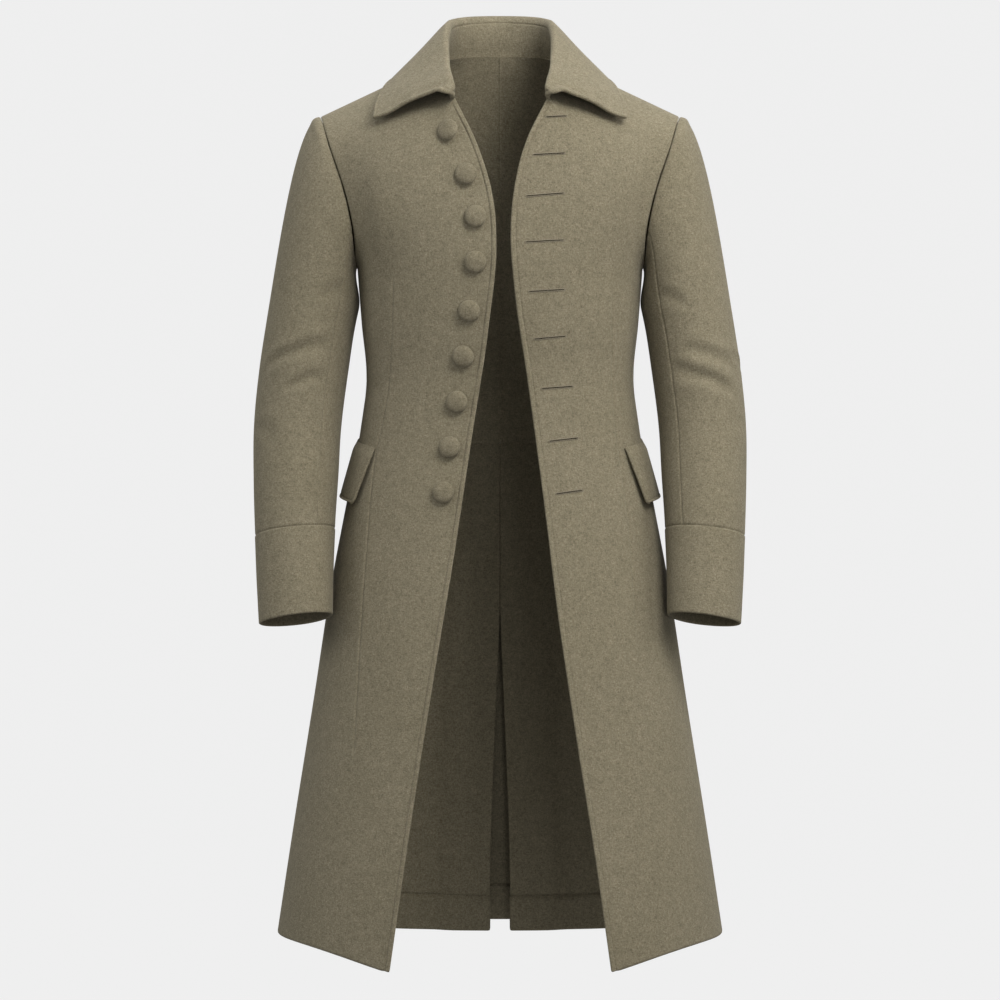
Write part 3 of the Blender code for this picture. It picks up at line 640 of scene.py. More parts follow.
def noise(tree, coordinates, scale, detail, roughness=0.6, distortion=0.0):
    """Noise texture on the given coordinates."""
    values = (("Scale", scale), ("Detail", detail), ("Roughness", roughness), ("Distortion", distortion))
    return add_node(tree, "TexNoise", values, (("Vector", coordinates),)).outputs["Fac"]


def spread(tree, value, low, high):
    """Stretches a value between low and high to 0 to 1."""
    ends = (("From Min", low), ("From Max", high))
    return add_node(tree, "MapRange", ends, (("Value", value),)).outputs["Result"]


def stretched(tree, coordinates, sizes):
    """Coordinates scaled differently along each axis."""
    return add_node(tree, "Mapping", (("Scale", sizes),), (("Vector", coordinates),)).outputs["Vector"]


def blend(tree, share, first, second, mode="MIX"):
    """Mixes two colours; the share and the colours are each a socket or a value."""
    mix = tree.nodes.new("ShaderNodeMix")
    mix.data_type = "RGBA"
    mix.blend_type = mode
    for socket, value in ((mix.inputs["Factor"], share), (mix.inputs[6], first), (mix.inputs[7], second)):
        if hasattr(value, "links"):
            tree.links.new(value, socket)
        else:
            socket.default_value = value
    return mix.outputs[2]


def bump(tree, height, strength, distance, below=()):
    """Normal of a surface roughened by a height, over another normal where below feeds one."""
    values = (("Strength", strength), ("Distance", distance))
    return add_node(tree, "Bump", values, (("Height", height), *below)).outputs["Normal"]


def new_material(name):
    """A new material, its node tree and its object coordinates."""
    mat = bpy.data.materials.new(name)
    mat.use_nodes = True
    return mat, mat.node_tree, mat.node_tree.nodes.new("ShaderNodeTexCoord").outputs["Object"]


def finish_shader(tree, colour, normal, values):
    """Feeds the shader its colour and normal and sets its other inputs."""
    shader = tree.nodes["Principled BSDF"]
    tree.links.new(colour, shader.inputs["Base Color"])
    tree.links.new(normal, shader.inputs["Normal"])
    for socket, value in values:
        shader.inputs[socket].default_value = value


def wool(name, dark, middle, light, grain=1.0, sheen=0.12, gloss=0.16):
    """Milled heathered wool: upright and level fibres of three tones under soft clouding, a faint fuzz
    and a felted bump."""
    mat, tree, place = new_material(name)
    upright, level = (noise(tree, stretched(tree, place, sizes), 760 * grain, 2.0, 0.7, 0.5)
                      for sizes in ((1.0, 1.0, 0.38), (0.38, 0.38, 1.0)))
    fibres = add_node(tree, "Math", (), ((0, upright), (1, level))).outputs[0]
    flecks = noise(tree, place, 1500 * grain, 2.0)
    clouds = noise(tree, place, 110 * grain, 3.0, 0.65)
    broad = noise(tree, place, 9, 2.0, 0.5)
    tone = blend(tree, spread(tree, fibres, 0.72, 1.28), dark, light)
    tone = blend(tree, 0.15, tone, middle)
    tone = blend(tree, spread(tree, flecks, 0.52, 0.74), tone, blend(tree, 0.10, tone, PALE_FLECK))
    for patches, (low, high) in ((clouds, CLOUD_TONES), (broad, BROAD_TONES)):
        shade = blend(tree, spread(tree, patches, 0.25, 0.75), low, high)
        tone = blend(tree, 1.0, tone, shade, "MULTIPLY")
    felt = bump(tree, clouds, 0.36, 0.0012)
    normal = bump(tree, fibres, 0.55, 0.0005, (("Normal", felt),))
    finish_shader(tree, tone, normal, (
        ("Roughness", 0.93), ("Specular IOR Level", gloss), ("Sheen Weight", sheen),
        ("Sheen Roughness", 0.55), ("Sheen Tint", (0.86, 0.82, 0.70, 1.0))))
    return mat


def twisted_thread(name, colour):
    """Buttonhole and topstitching thread: silk-smooth, with a fine twist in its bump."""
    mat, tree, place = new_material(name)
    strands = noise(tree, place, 2600, 2.0)
    tone = blend(tree, strands, tuple(0.8 * c for c in colour[:3]) + (1.0,), colour)
    finish_shader(tree, tone, bump(tree, strands, 0.3, 0.0002), (("Roughness", 0.7), ("Sheen Weight", 0.15)))
    return mat


PALE_FLECK = (1.0, 0.95, 0.80, 1.0)
CLOUD_TONES = ((0.88, 0.88, 0.87, 1.0), (1.11, 1.11, 1.12, 1.0))
BROAD_TONES = ((0.96, 0.96, 0.95, 1.0), (1.035, 1.035, 1.045, 1.0))
WOOL = wool("milled_wool", (0.116, 0.098, 0.060, 1.0), (0.182, 0.158, 0.104, 1.0),
            (0.264, 0.233, 0.160, 1.0))
BUTTON_WOOL = wool("button_wool", (0.110, 0.093, 0.057, 1.0), (0.172, 0.149, 0.098, 1.0),
                   (0.249, 0.219, 0.150, 1.0), 1.15)
THREAD = twisted_thread("sewing_thread", (0.150, 0.128, 0.086, 1.0))
BUTTONHOLE_THREAD = twisted_thread("buttonhole_thread", (0.190, 0.163, 0.108, 1.0))
# Near-black sheet laid in each buttonhole slit: painted shade for the shadow inside the cut, not the cloth's
# own colour
PAINTED_SLIT_SHADE = wool("painted_slit_shade", (0.012, 0.009, 0.005, 1.0), (0.018, 0.014, 0.008, 1.0),
                 (0.028, 0.022, 0.013, 1.0), 1.0, 0.0, 0.0)


# Fronts and backs


SEAM_STEPS = (0.0, 0.0004, 0.0009, 0.0016, 0.0026, 0.0042)
EDGE_STEPS = (0.0, 0.0008, 0.0018, 0.0030, 0.0038, 0.0043, 0.0047, 0.0052, 0.0060, 0.0075, 0.0105)
HEM_STEPS = (0.0015, 0.003, 0.0045, HEM_TURN - 0.002, HEM_TURN - 0.001, HEM_TURN - 0.0004,
             HEM_TURN + 0.0002, HEM_TURN + 0.0008, HEM_TURN + 0.0014, HEM_TURN + 0.0022, HEM_TURN + 0.0032)
HEM_EXTRA = 0.0019
HEM_PRESS = 0.0016
ROW_SHARES = ((-1.35, 0.1), (-0.9, 0.15), (-0.45, 0.2), (0, 0.1), (0.45, 0.2), (0.9, 0.15), (1.35, 0.1))
SEAM_PRESS = 0.0010
SEAM_PRESS_WIDTH = 0.0012
SEAM_TURN = 0.006
RANK_HEIGHT = 0.018
EDGE_PUFF = 0.0011
STITCH_PRESS = 0.0011
STITCH_PRESS_WIDTH = 0.0008
DART_PRESS = 0.0009
DART_AROUND = (-0.006, -0.003, -0.0016, -0.0008, 0.0, 0.0008, 0.0016, 0.003, 0.006)
SEAM_GAP = 0.00008


def seam_press(distance):
    """Depth that the cloth is drawn in beside a seam."""
    return SEAM_PRESS * bell(distance, SEAM_PRESS_WIDTH)


def edge_form(distance):
    """Height of a turned and stitched edge: full up to the stitching, pressed in at it."""
    puff = EDGE_PUFF * ease((STITCH_IN + 0.0012 - distance) / 0.002)
    return puff - STITCH_PRESS * bell(distance - STITCH_IN, STITCH_PRESS_WIDTH)


def locate_x(lines, x):
    """Distance along each line at which it passes a distance x from the middle."""
    run = lengths(lines)
    i = np.clip((lines[:, :, 0] <= x[:, None]).sum(axis=1) - 1, 0, lines.shape[1] - 2)
    rows = np.arange(len(lines))
    low, high = lines[rows, i, 0], lines[rows, i + 1, 0]
    share = np.clip((x - low) / np.maximum(high - low, 1e-9), 0, 1)
    return run[rows, i] + share * (run[rows, i + 1] - run[rows, i])


def eased_rows(points, heights, ranks, steps, total):
    """Panel points averaged with those of the rows up to 24 mm away, away from the panel's borders, so
    that no ridge shows where the lines across it change direction."""
    place = np.concatenate([(heights - UNDERARM) / RANK_HEIGHT, ranks])
    mean = 0
    for offset, share in ROW_SHARES:
        at = np.clip(place + offset, place[0], place[-1])
        i = np.clip(np.searchsorted(place, at) - 1, 0, len(place) - 2)
        t = ((at - place[i]) / (place[i + 1] - place[i]))[:, None, None]
        mean = mean + share * (points[i] * (1 - t) + points[i + 1] * t)
    weight = ease(np.minimum(steps, total - steps) / 0.035) * ease((place[-1] - place) / 2)[:, None]
    weight = weight * ease((place + 6) / 3)[:, None]
    return points + (mean - points) * weight[..., None]


def rank_steps(last, count):
    """Ranks of the rows above the underarm, close at the neck corner and at the shoulder seam."""
    ranks = close_steps(0.0, last, count, (), (0.015, 0.03, 0.06, 0.1, 0.15))[1:]
    return np.unique(np.concatenate([ranks, EDGE_ROWS + np.array((-0.05, -0.02, 0.0, 0.02, 0.05))]))


def panel_grid(lines, steps, heights, ranks):
    """Points at these distances along the lines, eased, their normals, the rank of each row and the
    distance left to the far end of each line."""
    total = lengths(lines)[:, -1:]
    points = eased_rows(walk(lines, steps), heights, ranks, steps, total)
    rank = np.concatenate([np.zeros(len(heights)), ranks])[:, None]
    return points, grid_normals(points, from_axis(points)), rank, total - steps


def front_panel(edge_rows, dart_rows):
    """Front panel as if at +X: points, normals, distance from the front edge, ranks of its upper rows."""
    heights = close_steps(HEM + EDGE_INSET, UNDERARM, 165, HEM_STEPS)
    ranks = rank_steps(11.0, 70)
    lines = front_lines(edge_rows, heights, ranks)
    dart_x = table(dart_rows, np.clip(lines[:, 0, 2], dart_rows[0][0], dart_rows[-1][0]))
    dart = locate_x(lines, np.abs(dart_x))
    steps = stations(lines, np.array(EDGE_STEPS) + EDGE_INSET, np.array(SEAM_STEPS[::-1]) + SEAM_GAP,
                     32, dart, DART_AROUND)
    points, normals, rank, left = panel_grid(lines, steps, heights, ranks)
    normals = squared(normals, 1, bell(left, SEAM_TURN) * (rank <= 0))
    normals = shoulder_up(normals, bell((11.0 - rank) * RANK_HEIGHT, SEAM_TURN) + 0 * steps)
    on_edge = ease((EDGE_ROWS - 0.02 - rank) / 0.15)
    lift = edge_form(steps) * on_edge
    lift = lift - seam_press(left)
    reach = ease((dart_rows[-1][0] - 0.004 - points[..., 2]) / 0.03) * ease(
        (points[..., 2] - dart_rows[0][0]) / 0.10)
    across = steps - dart[:, None]
    lift = lift + reach * (0.35 * DART_PRESS * bell(np.abs(across) - 0.0035, 0.003)
                           - DART_PRESS * bell(across, 0.0010))
    lift = lift - seam_press((11.0 - rank) * RANK_HEIGHT)
    lift = lift + drape(points, left)
    points = points + normals * lift[..., None]
    return points, normals, steps, rank[:, 0]


# Soft forms of a front beside the armhole: depth, x, z, half width, half height, lean outwards going up
FRONT_HOLLOWS = (
    (-0.0022, 0.168, -0.190, 0.012, 0.045, 0.10),
    (0.0012, 0.145, -0.180, 0.014, 0.050, 0.0),
)
WAIST_PULL = -0.0009
FRONT_WAVES = 0.00132
BACK_WAVES = 0.0020
WAVES_END = 0.06


def drape(points, left):
    """Soft unevenness of the hanging cloth: a hollow in front of the armhole and slight long waves that
    end before the side seam."""
    x, z = points[..., 0], points[..., 2]
    lift = WAIST_PULL * bell(z + 0.405 + 0.12 * (x - 0.15), 0.010) * bell(x - 0.155, 0.022)
    for depth, at_x, at_z, wide, high, lean in FRONT_HOLLOWS:
        lean_x = lean * np.clip(z + 0.20, -0.1, 0.1)
        lift = lift + depth * bell(x - at_x - lean_x, wide) * bell(z - at_z, high)
    waves = below_waist(z)**1.5 * np.sin(x * 38 + z * 2.2 + 0.6) * ease(left / WAVES_END)
    return lift + FRONT_WAVES * waves


def pleat_step(lines):
    """Moves the back in beside the centre back, where the pleat's layers lie on the skirt; the step
    fades out above the waist seam."""
    width = PLEAT_HALF_WAIST + (PLEAT_HALF_HEM - PLEAT_HALF_WAIST) * below_waist(lines[..., 2])
    share = 1 - ease((lines[..., 0] - width) / PLEAT_STEP_WIDTH)
    share = share * ease((WAIST + PLEAT_STEP_FADE - lines[..., 2]) / PLEAT_STEP_FADE)
    lines[..., 1] -= PLEAT_STEP_IN * share
    return lines


def squared(normals, axis, weight):
    """Normals turned square to an axis by this weight, so that panels meet face to face at a seam."""
    turned = normals.copy()
    turned[..., axis] *= 1 - weight
    return unit(turned)


def shoulder_up(normals, weight):
    """Normals turned by this weight to the one that both panels share along the shoulder seam."""
    slope = np.array(SHOULDER_END) - np.array(NECK_SHOULDER)
    up = unit(np.cross(slope, (0.0, 1.0, 0.0)))
    up = up * np.sign(up[2])
    return unit(normals * (1 - weight[..., None]) + up * weight[..., None])


def back_panels():
    """Upper back and back skirt as if at +X: points and normals, and the upper back's ranks."""
    heights = close_steps(WAIST + SEAM_GAP, UNDERARM, 46, SEAM_STEPS[1:])
    ranks = rank_steps(10.0, 66)
    lines = pleat_step(back_lines(heights, ranks))
    steps = stations(lines, np.array(SEAM_STEPS) + SEAM_GAP, np.array(SEAM_STEPS[::-1]) + SEAM_GAP, 34)
    points, normals, rank, left = panel_grid(lines, steps, heights, ranks)
    normals = squared(normals, 0, bell(points[..., 0], SEAM_TURN))
    normals = squared(normals, 1, bell(left, SEAM_TURN) * (rank <= 0))
    at_neck = (rank >= EDGE_ROWS) * np.clip((9.5 - rank) / 2, 0, 1)
    normals = squared(normals, 2, bell(steps, SEAM_TURN) * at_neck)
    normals = shoulder_up(normals, bell((10.0 - rank) * RANK_HEIGHT, SEAM_TURN) + 0 * steps)
    lift = -seam_press(steps) * (rank < EDGE_ROWS) - seam_press(left)
    lift = lift - seam_press((10.0 - rank) * RANK_HEIGHT)
    lift = lift - seam_press(points[..., 2] - WAIST)
    upper = points + normals * lift[..., None], normals, rank[:, 0]

    heights = close_steps(HEM + EDGE_INSET, WAIST - SEAM_GAP, 125, HEM_STEPS, SEAM_STEPS[1:])
    lines = pleat_step(ring(heights, pleat_gap(heights), True))
    steps = stations(lines, np.array((0.0, 0.0006, 0.0014, 0.0025, 0.004)) + EDGE_INSET,
                     np.array(SEAM_STEPS[::-1]) + SEAM_GAP, 42)
    points = walk(lines, steps)
    normals = grid_normals(points, from_axis(points))
    left = lengths(lines)[:, -1:] - steps
    normals = squared(normals, 1, bell(left, SEAM_TURN))
    normals = squared(normals, 0, bell(steps, SEAM_TURN))
    lift = -seam_press(left) - seam_press(WAIST - points[..., 2])
    waves = BACK_WAVES * below_waist(points[..., 2])**1.5 * np.sin(points[..., 0] * 34 + 1.9)
    lift = lift + waves * ease((points[..., 0] - 0.10) / WAVES_END) * ease(left / WAVES_END)
    skirt = points + normals * lift[..., None], normals
    return upper, skirt


def hem_thickness(points):
    """Cloth thickness, more where the hem is turned up inside, with a pressed line at its stitching."""
    above = points[..., 2] - points[:1, :, 2]
    turn = HEM_EXTRA * ease((HEM_TURN - above) / 0.0012)
    return WALL + turn - HEM_PRESS * bell(above - HEM_TURN - 0.0006, 0.0010)


def body():
    """Fronts, upper backs and back skirts. Returns the grids that collar, sleeves and trimmings sit on."""
    fronts = {}
    for (side, tag), edge_rows, dart_rows in zip(SIDES, (EDGE_LEFT, EDGE_RIGHT), (DART_LEFT, DART_RIGHT)):
        points, normals, steps, rank = front_panel(edge_rows, dart_rows)
        thickness = WALL + (hem_thickness(points) - WALL) * ease((steps - STITCH_IN) / 0.006)
        cloth("front_panel_" + tag, ["front_" + tag], points, normals, thickness,
              ("left", "bottom"), side)
        fronts[tag] = (points, normals, steps, rank)
    upper, skirt = back_panels()
    for side, tag in SIDES:
        cloth("back_panel_" + tag, ["back_" + tag], upper[0], upper[1], WALL, (), side)
        cloth("skirt_panel_" + tag, ["skirt_back_" + tag], skirt[0], skirt[1], hem_thickness(skirt[0]),
              ("bottom", "left"), side)
    return fronts, upper


def pleat():
    """Box pleat: a channel whose cross-section is a flat outer face, two folds and two returns."""
    heights = close_steps(PLEAT_HEM + EDGE_INSET, WAIST - 0.0006, 120, HEM_STEPS)
    low = below_waist(heights)
    half = PLEAT_HALF_WAIST + (PLEAT_HALF_HEM - PLEAT_HALF_WAIST) * low
    deep = PLEAT_DEPTH_WAIST + (PLEAT_DEPTH_HEM - PLEAT_DEPTH_WAIST) * low**1.2
    start = pleat_gap(heights) + 0.0006
    behind = table(BODY, heights)[:, 2]
    near = behind - PLEAT_STEP_IN + 0.0006
    fold = np.where(deep < 0.012, deep / 2, 0.006)
    far = near + deep
    section = [
        (start, near), ((start + half) / 2, near), (half - fold, near),
        (half - 0.25 * fold, near + 0.35 * fold), (half, near + deep / 2),
        (half - 0.25 * fold, far - 0.35 * fold), (half - fold, far), (half / 2, far), (0 * half, far),
    ]
    section = section + [(-x, y) for x, y in section[-2::-1]]
    x = np.stack([p[0] for p in section], axis=1)
    y = np.stack([p[1] for p in section], axis=1)
    knots = np.arange(len(section), dtype=float)
    at = np.linspace(0, len(section) - 1, 97)
    across = smooth(knots, x.T, at).T
    depth = smooth(knots, y.T, at).T
    points = np.stack([across, depth, np.broadcast_to(heights[:, None], across.shape)], axis=2)
    normals = grid_normals(points, from_axis(points - np.array([0, 0.1, 0])))
    cloth("pleat_panel", ["pleat_insert"], points, normals, hem_thickness(points), ("bottom",))


# Sleeves and cuffs


def sleeve_ring(height, angles):
    """Tilted ovals: centre plus half width times cosine and half depth times sine, lower to the back
    and outside. 0 degrees is outermost, 90 in front and 180 beside the body."""
    rows = table(SLEEVE, np.atleast_1d(height))[..., None, :]
    centre_x, centre_y, half_width, half_depth, fall_back, fall_out = np.moveaxis(rows, -1, 0)
    turn = np.radians(angles)[None, :]
    dx = half_width * np.cos(turn)
    dy = -half_depth * np.sin(turn)
    z = np.atleast_1d(height)[:, None] - fall_back * dy - fall_out * dx
    return np.stack([centre_x + dx, centre_y + dy, z], axis=2)


def crease_lift(points, angles, creases):
    """Troughs along lines on the sleeve, each with a softer ridge on both sides, fading at its ends."""
    around = np.radians(np.asarray(angles) % 360)[None, :] * 0.055
    up = points[..., 2]
    lift = np.zeros(points.shape[:2])
    for start_angle, start_z, end_angle, end_z, depth, width in creases:
        a = np.array([math.radians(start_angle) * 0.055, start_z])
        b = np.array([math.radians(end_angle) * 0.055, end_z])
        span = np.linalg.norm(b - a)
        ahead = (b - a) / span
        along_it = ((around - a[0]) * ahead[0] + (up - a[1]) * ahead[1]) / span
        off = -(around - a[0]) * ahead[1] + (up - a[1]) * ahead[0]
        off = off - 0.004 * np.sin(np.clip(along_it, 0, 1) * math.pi)
        fade = ease((along_it + 0.12) / 0.4) * ease((1.12 - along_it) / 0.4)
        grow = width * (0.7 + 0.5 * np.clip(along_it, 0, 1))
        above = 0.55 * bell(off - 1.9 * grow, 1.1 * grow)
        under = 0.35 * bell(off + 1.9 * grow, 1.2 * grow)
        lift = lift + depth * fade * (above + under - bell(off, grow))
    return lift


def sleeve_surface(angles, front, upper):
    """Sleeve from the armhole to the cuff seam: curves that leave the armhole seam and run into the
    top ring, then rings down the arm."""
    front_normals, front_rank = front[1], front[3]
    back_normals, back_rank = upper[1:]
    turn_angles = np.asarray(angles) % 360
    low_front = np.where(front_rank > 0)[0][0] - 1
    low_back = np.where(back_rank > 0)[0][0] - 1
    front_angle = np.interp(front_rank[low_front:], np.arange(12), FRONT_ARMHOLE_ANGLES)
    back_angle = np.interp(back_rank[low_back:], np.arange(11), BACK_ARMHOLE_ANGLES)
    known = np.concatenate([front_angle[::-1], back_angle[1:]])
    facing = np.concatenate([front_normals[low_front:, -1][::-1], back_normals[low_back + 1:, -1]])
    facing = unit(between(turn_angles, known, facing, 360))
    edge = armhole(turn_angles)
    ahead = armhole((turn_angles + 1.0) % 360) - armhole((turn_angles - 1.0) % 360)
    outward = unit(np.cross(ahead, facing))
    shoulder = np.argmin(np.minimum(turn_angles, 360 - turn_angles))
    lead = outward[shoulder, 0] if turn_angles.min() < 10 else outward[len(angles) // 2, 2]
    outward = outward if lead >= 0 else -outward
    turn = np.radians(turn_angles)
    high = (1 + np.cos(turn)) / 2
    away, up = (under + (top - under) * high for top, under in zip(LEAVE_TOP, LEAVE_UNDER))
    leave = unit(np.stack([away, -LEAVE_SIDES * np.sin(turn), up], axis=1))
    start = edge + unit(outward + leave) * 0.0002
    top_height = SLEEVE[0][0]
    end = sleeve_ring(top_height, turn_angles)[0]
    below = sleeve_ring(top_height - 0.01, turn_angles)[0]
    reach = np.linalg.norm(end - start, axis=1)[:, None]
    first = start + leave * (0.020 + 0.008 * np.cos(turn))[:, None]
    last = end - unit(below - end) * reach * 0.42
    t = close_steps(0.0, 1.0, 52, (0.003, 0.007, 0.012))[:, None, None]
    head = (1 - t)**3 * start + 3 * (1 - t)**2 * t * first + 3 * (1 - t) * t**2 * last + t**3 * end
    heights = close_steps(CUFF_SEAM + SEAM_GAP, top_height - 0.004, 66, SEAM_STEPS[1:])[::-1]
    return np.concatenate([head, sleeve_ring(heights, turn_angles)])


def sleeve_angles(start, stop, count):
    """Angles from one sleeve seam to the other, close together at both seams."""
    close = (0.35, 0.9, 1.7, 2.8, 4.5)
    return close_steps(start + 0.08, stop - 0.08, count, close, close)


def sleeves(fronts, upper):
    """Two-piece sleeves with pressed seams and elbow creases."""
    for (side, tag), creases in zip(SIDES, (CREASES_LEFT, CREASES_RIGHT)):
        pieces = (("sleeve_top_", HIND_SEAM_ANGLE - 360, INSEAM_ANGLE, 78, (0.25, 0.56)),
                  ("sleeve_under_", INSEAM_ANGLE, HIND_SEAM_ANGLE, 36, (0.13, 0.42)))
        for prefix, start, stop, count, flat in pieces:
            angles = sleeve_angles(start, stop, count)
            points = sleeve_surface(angles, fronts[tag], upper)
            centre = points.mean(axis=1, keepdims=True)
            if prefix == "sleeve_under_":
                centre = centre + np.array([0.08, 0, 0])
            normals = grid_normals(points, points - centre)
            arc = np.radians(angles)[None, :] * 0.055
            lift = -seam_press(arc - arc[:, :1]) - seam_press(arc[:, -1:] - arc)
            down = lengths(points.transpose(1, 0, 2)).T
            lift = lift - seam_press(down)
            lift = lift - seam_press(points[..., 2] - points[-1:, :, 2])
            lift = lift + crease_lift(points, angles, creases)
            top = ease((70 - np.abs(angles)) / 50)[None, :]
            lift = lift + HEAD_ROLL * top * bell(down - 0.009, 0.006)
            points = points + normals * lift[..., None]
            cloth(prefix + "panel_" + tag, [prefix + tag], points[::-1], normals[::-1], WALL, (), side)
        cuff(side, tag)


def cuff(side, tag):
    """Cuff: tilted ovals from its seam to a rolled hand opening."""
    angles = np.linspace(0, 360, 129)[:-1]
    heights = close_steps(CUFF_END + EDGE_INSET, CUFF_SEAM - SEAM_GAP, 40, (0.001, 0.002), SEAM_STEPS[1:])
    points = sleeve_ring(heights, angles)
    centre = points.mean(axis=1, keepdims=True)
    normals = grid_normals(points, points - centre, wrap=True)
    lift = CUFF_EXTRA - seam_press(points[-1:, :, 2] - points[..., 2])
    low = ease((CUFF_SEAM - heights) / 0.06)[:, None]
    soft = 0.0008 * np.sin(np.radians(angles) * 3 + 0.8)[None, :] * low
    points = points + normals * (lift + soft)[..., None]
    cloth("cuff_panel_" + tag, ["cuff_" + tag], points, normals, WALL + CUFF_EXTRA, ("bottom",),
          side, True)


# Collar


def near_end(places, reach):
    """1 at the collar's front end, falling evenly to 0 at this place; one column."""
    return np.clip(1 - places / reach, 0, 1)[:, None]


def steepness(high, low):
    """Fall from one row of points to another for each metre between them on the level."""
    away = np.linalg.norm((high - low)[:, :2], axis=1, keepdims=True)
    return (high - low)[:, 2:] / np.maximum(away, 1e-6)


def collar_half(front, upper):
    """Half of the collar as if at +X: each line rises from the neckline, rolls over and falls."""
    front_normals, front_rank = front[1], front[3]
    back_normals, back_rank = upper[1:]
    close = (0.006, 0.012, 0.018, 0.024, 0.030, 0.036, 0.044)
    places = close_steps(0.0115, 1.0, 76, close)
    in_front = places <= 6 / 11
    front_share = np.clip(places * 11 / 6, 0, 1)
    back_share = np.clip((1 - places) * 11 / 5, 0, 1)
    neck = np.where(in_front[:, None], along(neckline_front(COLLAR_NECK_X), front_share),
                    along(neckline_back(), back_share))
    facing_front = between(EDGE_ROWS + front_share * 6, front_rank, front_normals[:, 8])
    facing_back = between(EDGE_ROWS + back_share * 5, back_rank, back_normals[:, 3])
    lift = unit(np.where(in_front[:, None], facing_front, facing_back))
    rows = table(COLLAR, places)
    roll, edge = rows[:, :3], rows[:, 3:]
    out = unit((edge - roll) * np.array([1.0, 1.0, 0.0]))
    up = np.array([0.0, 0.0, 1.0])
    base = neck + lift * 0.0002
    r = COLLAR_ROLL_RADIUS + COLLAR_END_ROLL * near_end(places, COLLAR_END_REACH)
    rise = steepness(roll, base)
    fall = steepness(roll, edge)
    inside = roll - out * r - up * r * np.minimum(0.9, 0.7 * rise)
    outside = roll + out * r * 1.1 - up * r * np.minimum(0.8, 0.88 * fall)
    lean = unit(np.cross(edge - outside, np.cross(out, up)))
    lean = lean * np.sign(lean[:, 2:])
    hollow = COLLAR_HOLLOW * near_end(places, COLLAR_END_REACH)
    bulge = COLLAR_STAND_BULGE + COLLAR_END_BULGE * near_end(places, 0.10)
    points = np.array([base, (base + inside) / 2 - out * bulge, inside, roll, outside,
                       outside * 0.6 + edge * 0.4 + lean * COLLAR_FALL_BULGE,
                       outside * 0.25 + edge * 0.75 + lean * (COLLAR_FALL_BULGE - hollow), edge])
    knots = np.array((0.0, 0.16, 0.31, 0.38, 0.45, 0.65, 0.85, 1.0))
    dense = smooth(knots, points.reshape(8, -1), np.linspace(0, 1, 160))
    return dense.reshape(160, -1, 3).transpose(1, 0, 2), unit(out + lift), places


def collar(fronts, upper):
    """Turned-down collar with rolled, stitched edges."""
    left, left_foot, places = collar_half(fronts["left"], upper)
    right, right_foot, _ = collar_half(fronts["right"], upper)
    lines = np.concatenate([right * MIRROR, left[::-1][1:]])
    end_steps = (0.0, 0.0008, 0.0016, 0.0024, 0.0028, 0.0032, 0.0037, 0.0046, 0.0062)
    at_stand = np.maximum(lengths(lines)[:, ROLL_AT] - STAND_STITCH, 0.0085)
    steps = stations(lines, SEAM_STEPS, np.array(end_steps[::-1]) + 0.0016, 84, at_stand, STAND_AROUND)
    points = walk(lines, steps).transpose(1, 0, 2)
    steps = steps.T
    normals = grid_normals(points, from_axis(points))
    middle = len(places) - 1
    if normals[-1, middle, 1] < 0:
        normals = -normals
    normals[0] = -np.concatenate([right_foot * MIRROR, left_foot[::-1][1:]])
    total = lengths(lines)[:, -1][None, :]
    from_edge = total - steps
    all_places = np.concatenate([places, places[::-1][1:]])
    from_end = np.broadcast_to(all_places[None, :] * COLLAR_DEPTH, from_edge.shape)
    near = np.minimum(from_edge, from_end)
    lift = COLLAR_PRESS * ease((COLLAR_STITCH_IN + 0.001 - near) / 0.0015)
    lift = lift - COLLAR_PRESS * bell(near - COLLAR_STITCH_IN, 0.0007)
    fade = ease((np.minimum(all_places, 1.0)[None, :] - 0.3) / 0.2)
    lift = lift - STAND_PRESS * bell(steps - at_stand[None, :], 0.0008) * fade
    shaped = points + normals * lift[..., None]
    rim = COLLAR_WALL + COLLAR_RIM * ease((COLLAR_STITCH_IN + 0.0015 - near) / 0.0030)
    cloth("collar_panel", ["collar"], shaped, normals, rim, ("left", "right", "top"))
    row = np.argmin(np.abs(from_edge[:, middle] - COLLAR_STITCH_IN))
    column = int(np.argmin(np.abs(places * COLLAR_DEPTH - COLLAR_STITCH_IN)))
    roll_row = int(0.45 * len(points))
    edge_path, edge_normals = (
        np.concatenate([grid[roll_row:row, column], grid[row, column:-column],
                        grid[row:roll_row:-1, -column - 1]]) for grid in (shaped, normals))
    inner = int(np.argmin(np.abs(steps[:, middle] - at_stand[middle])))
    span = slice(int(middle * 0.55), 2 * middle - int(middle * 0.55))
    sew("collar_stitching", [(edge_path, edge_normals), (shaped[inner, span], normals[inner, span])])


# Pocket flaps


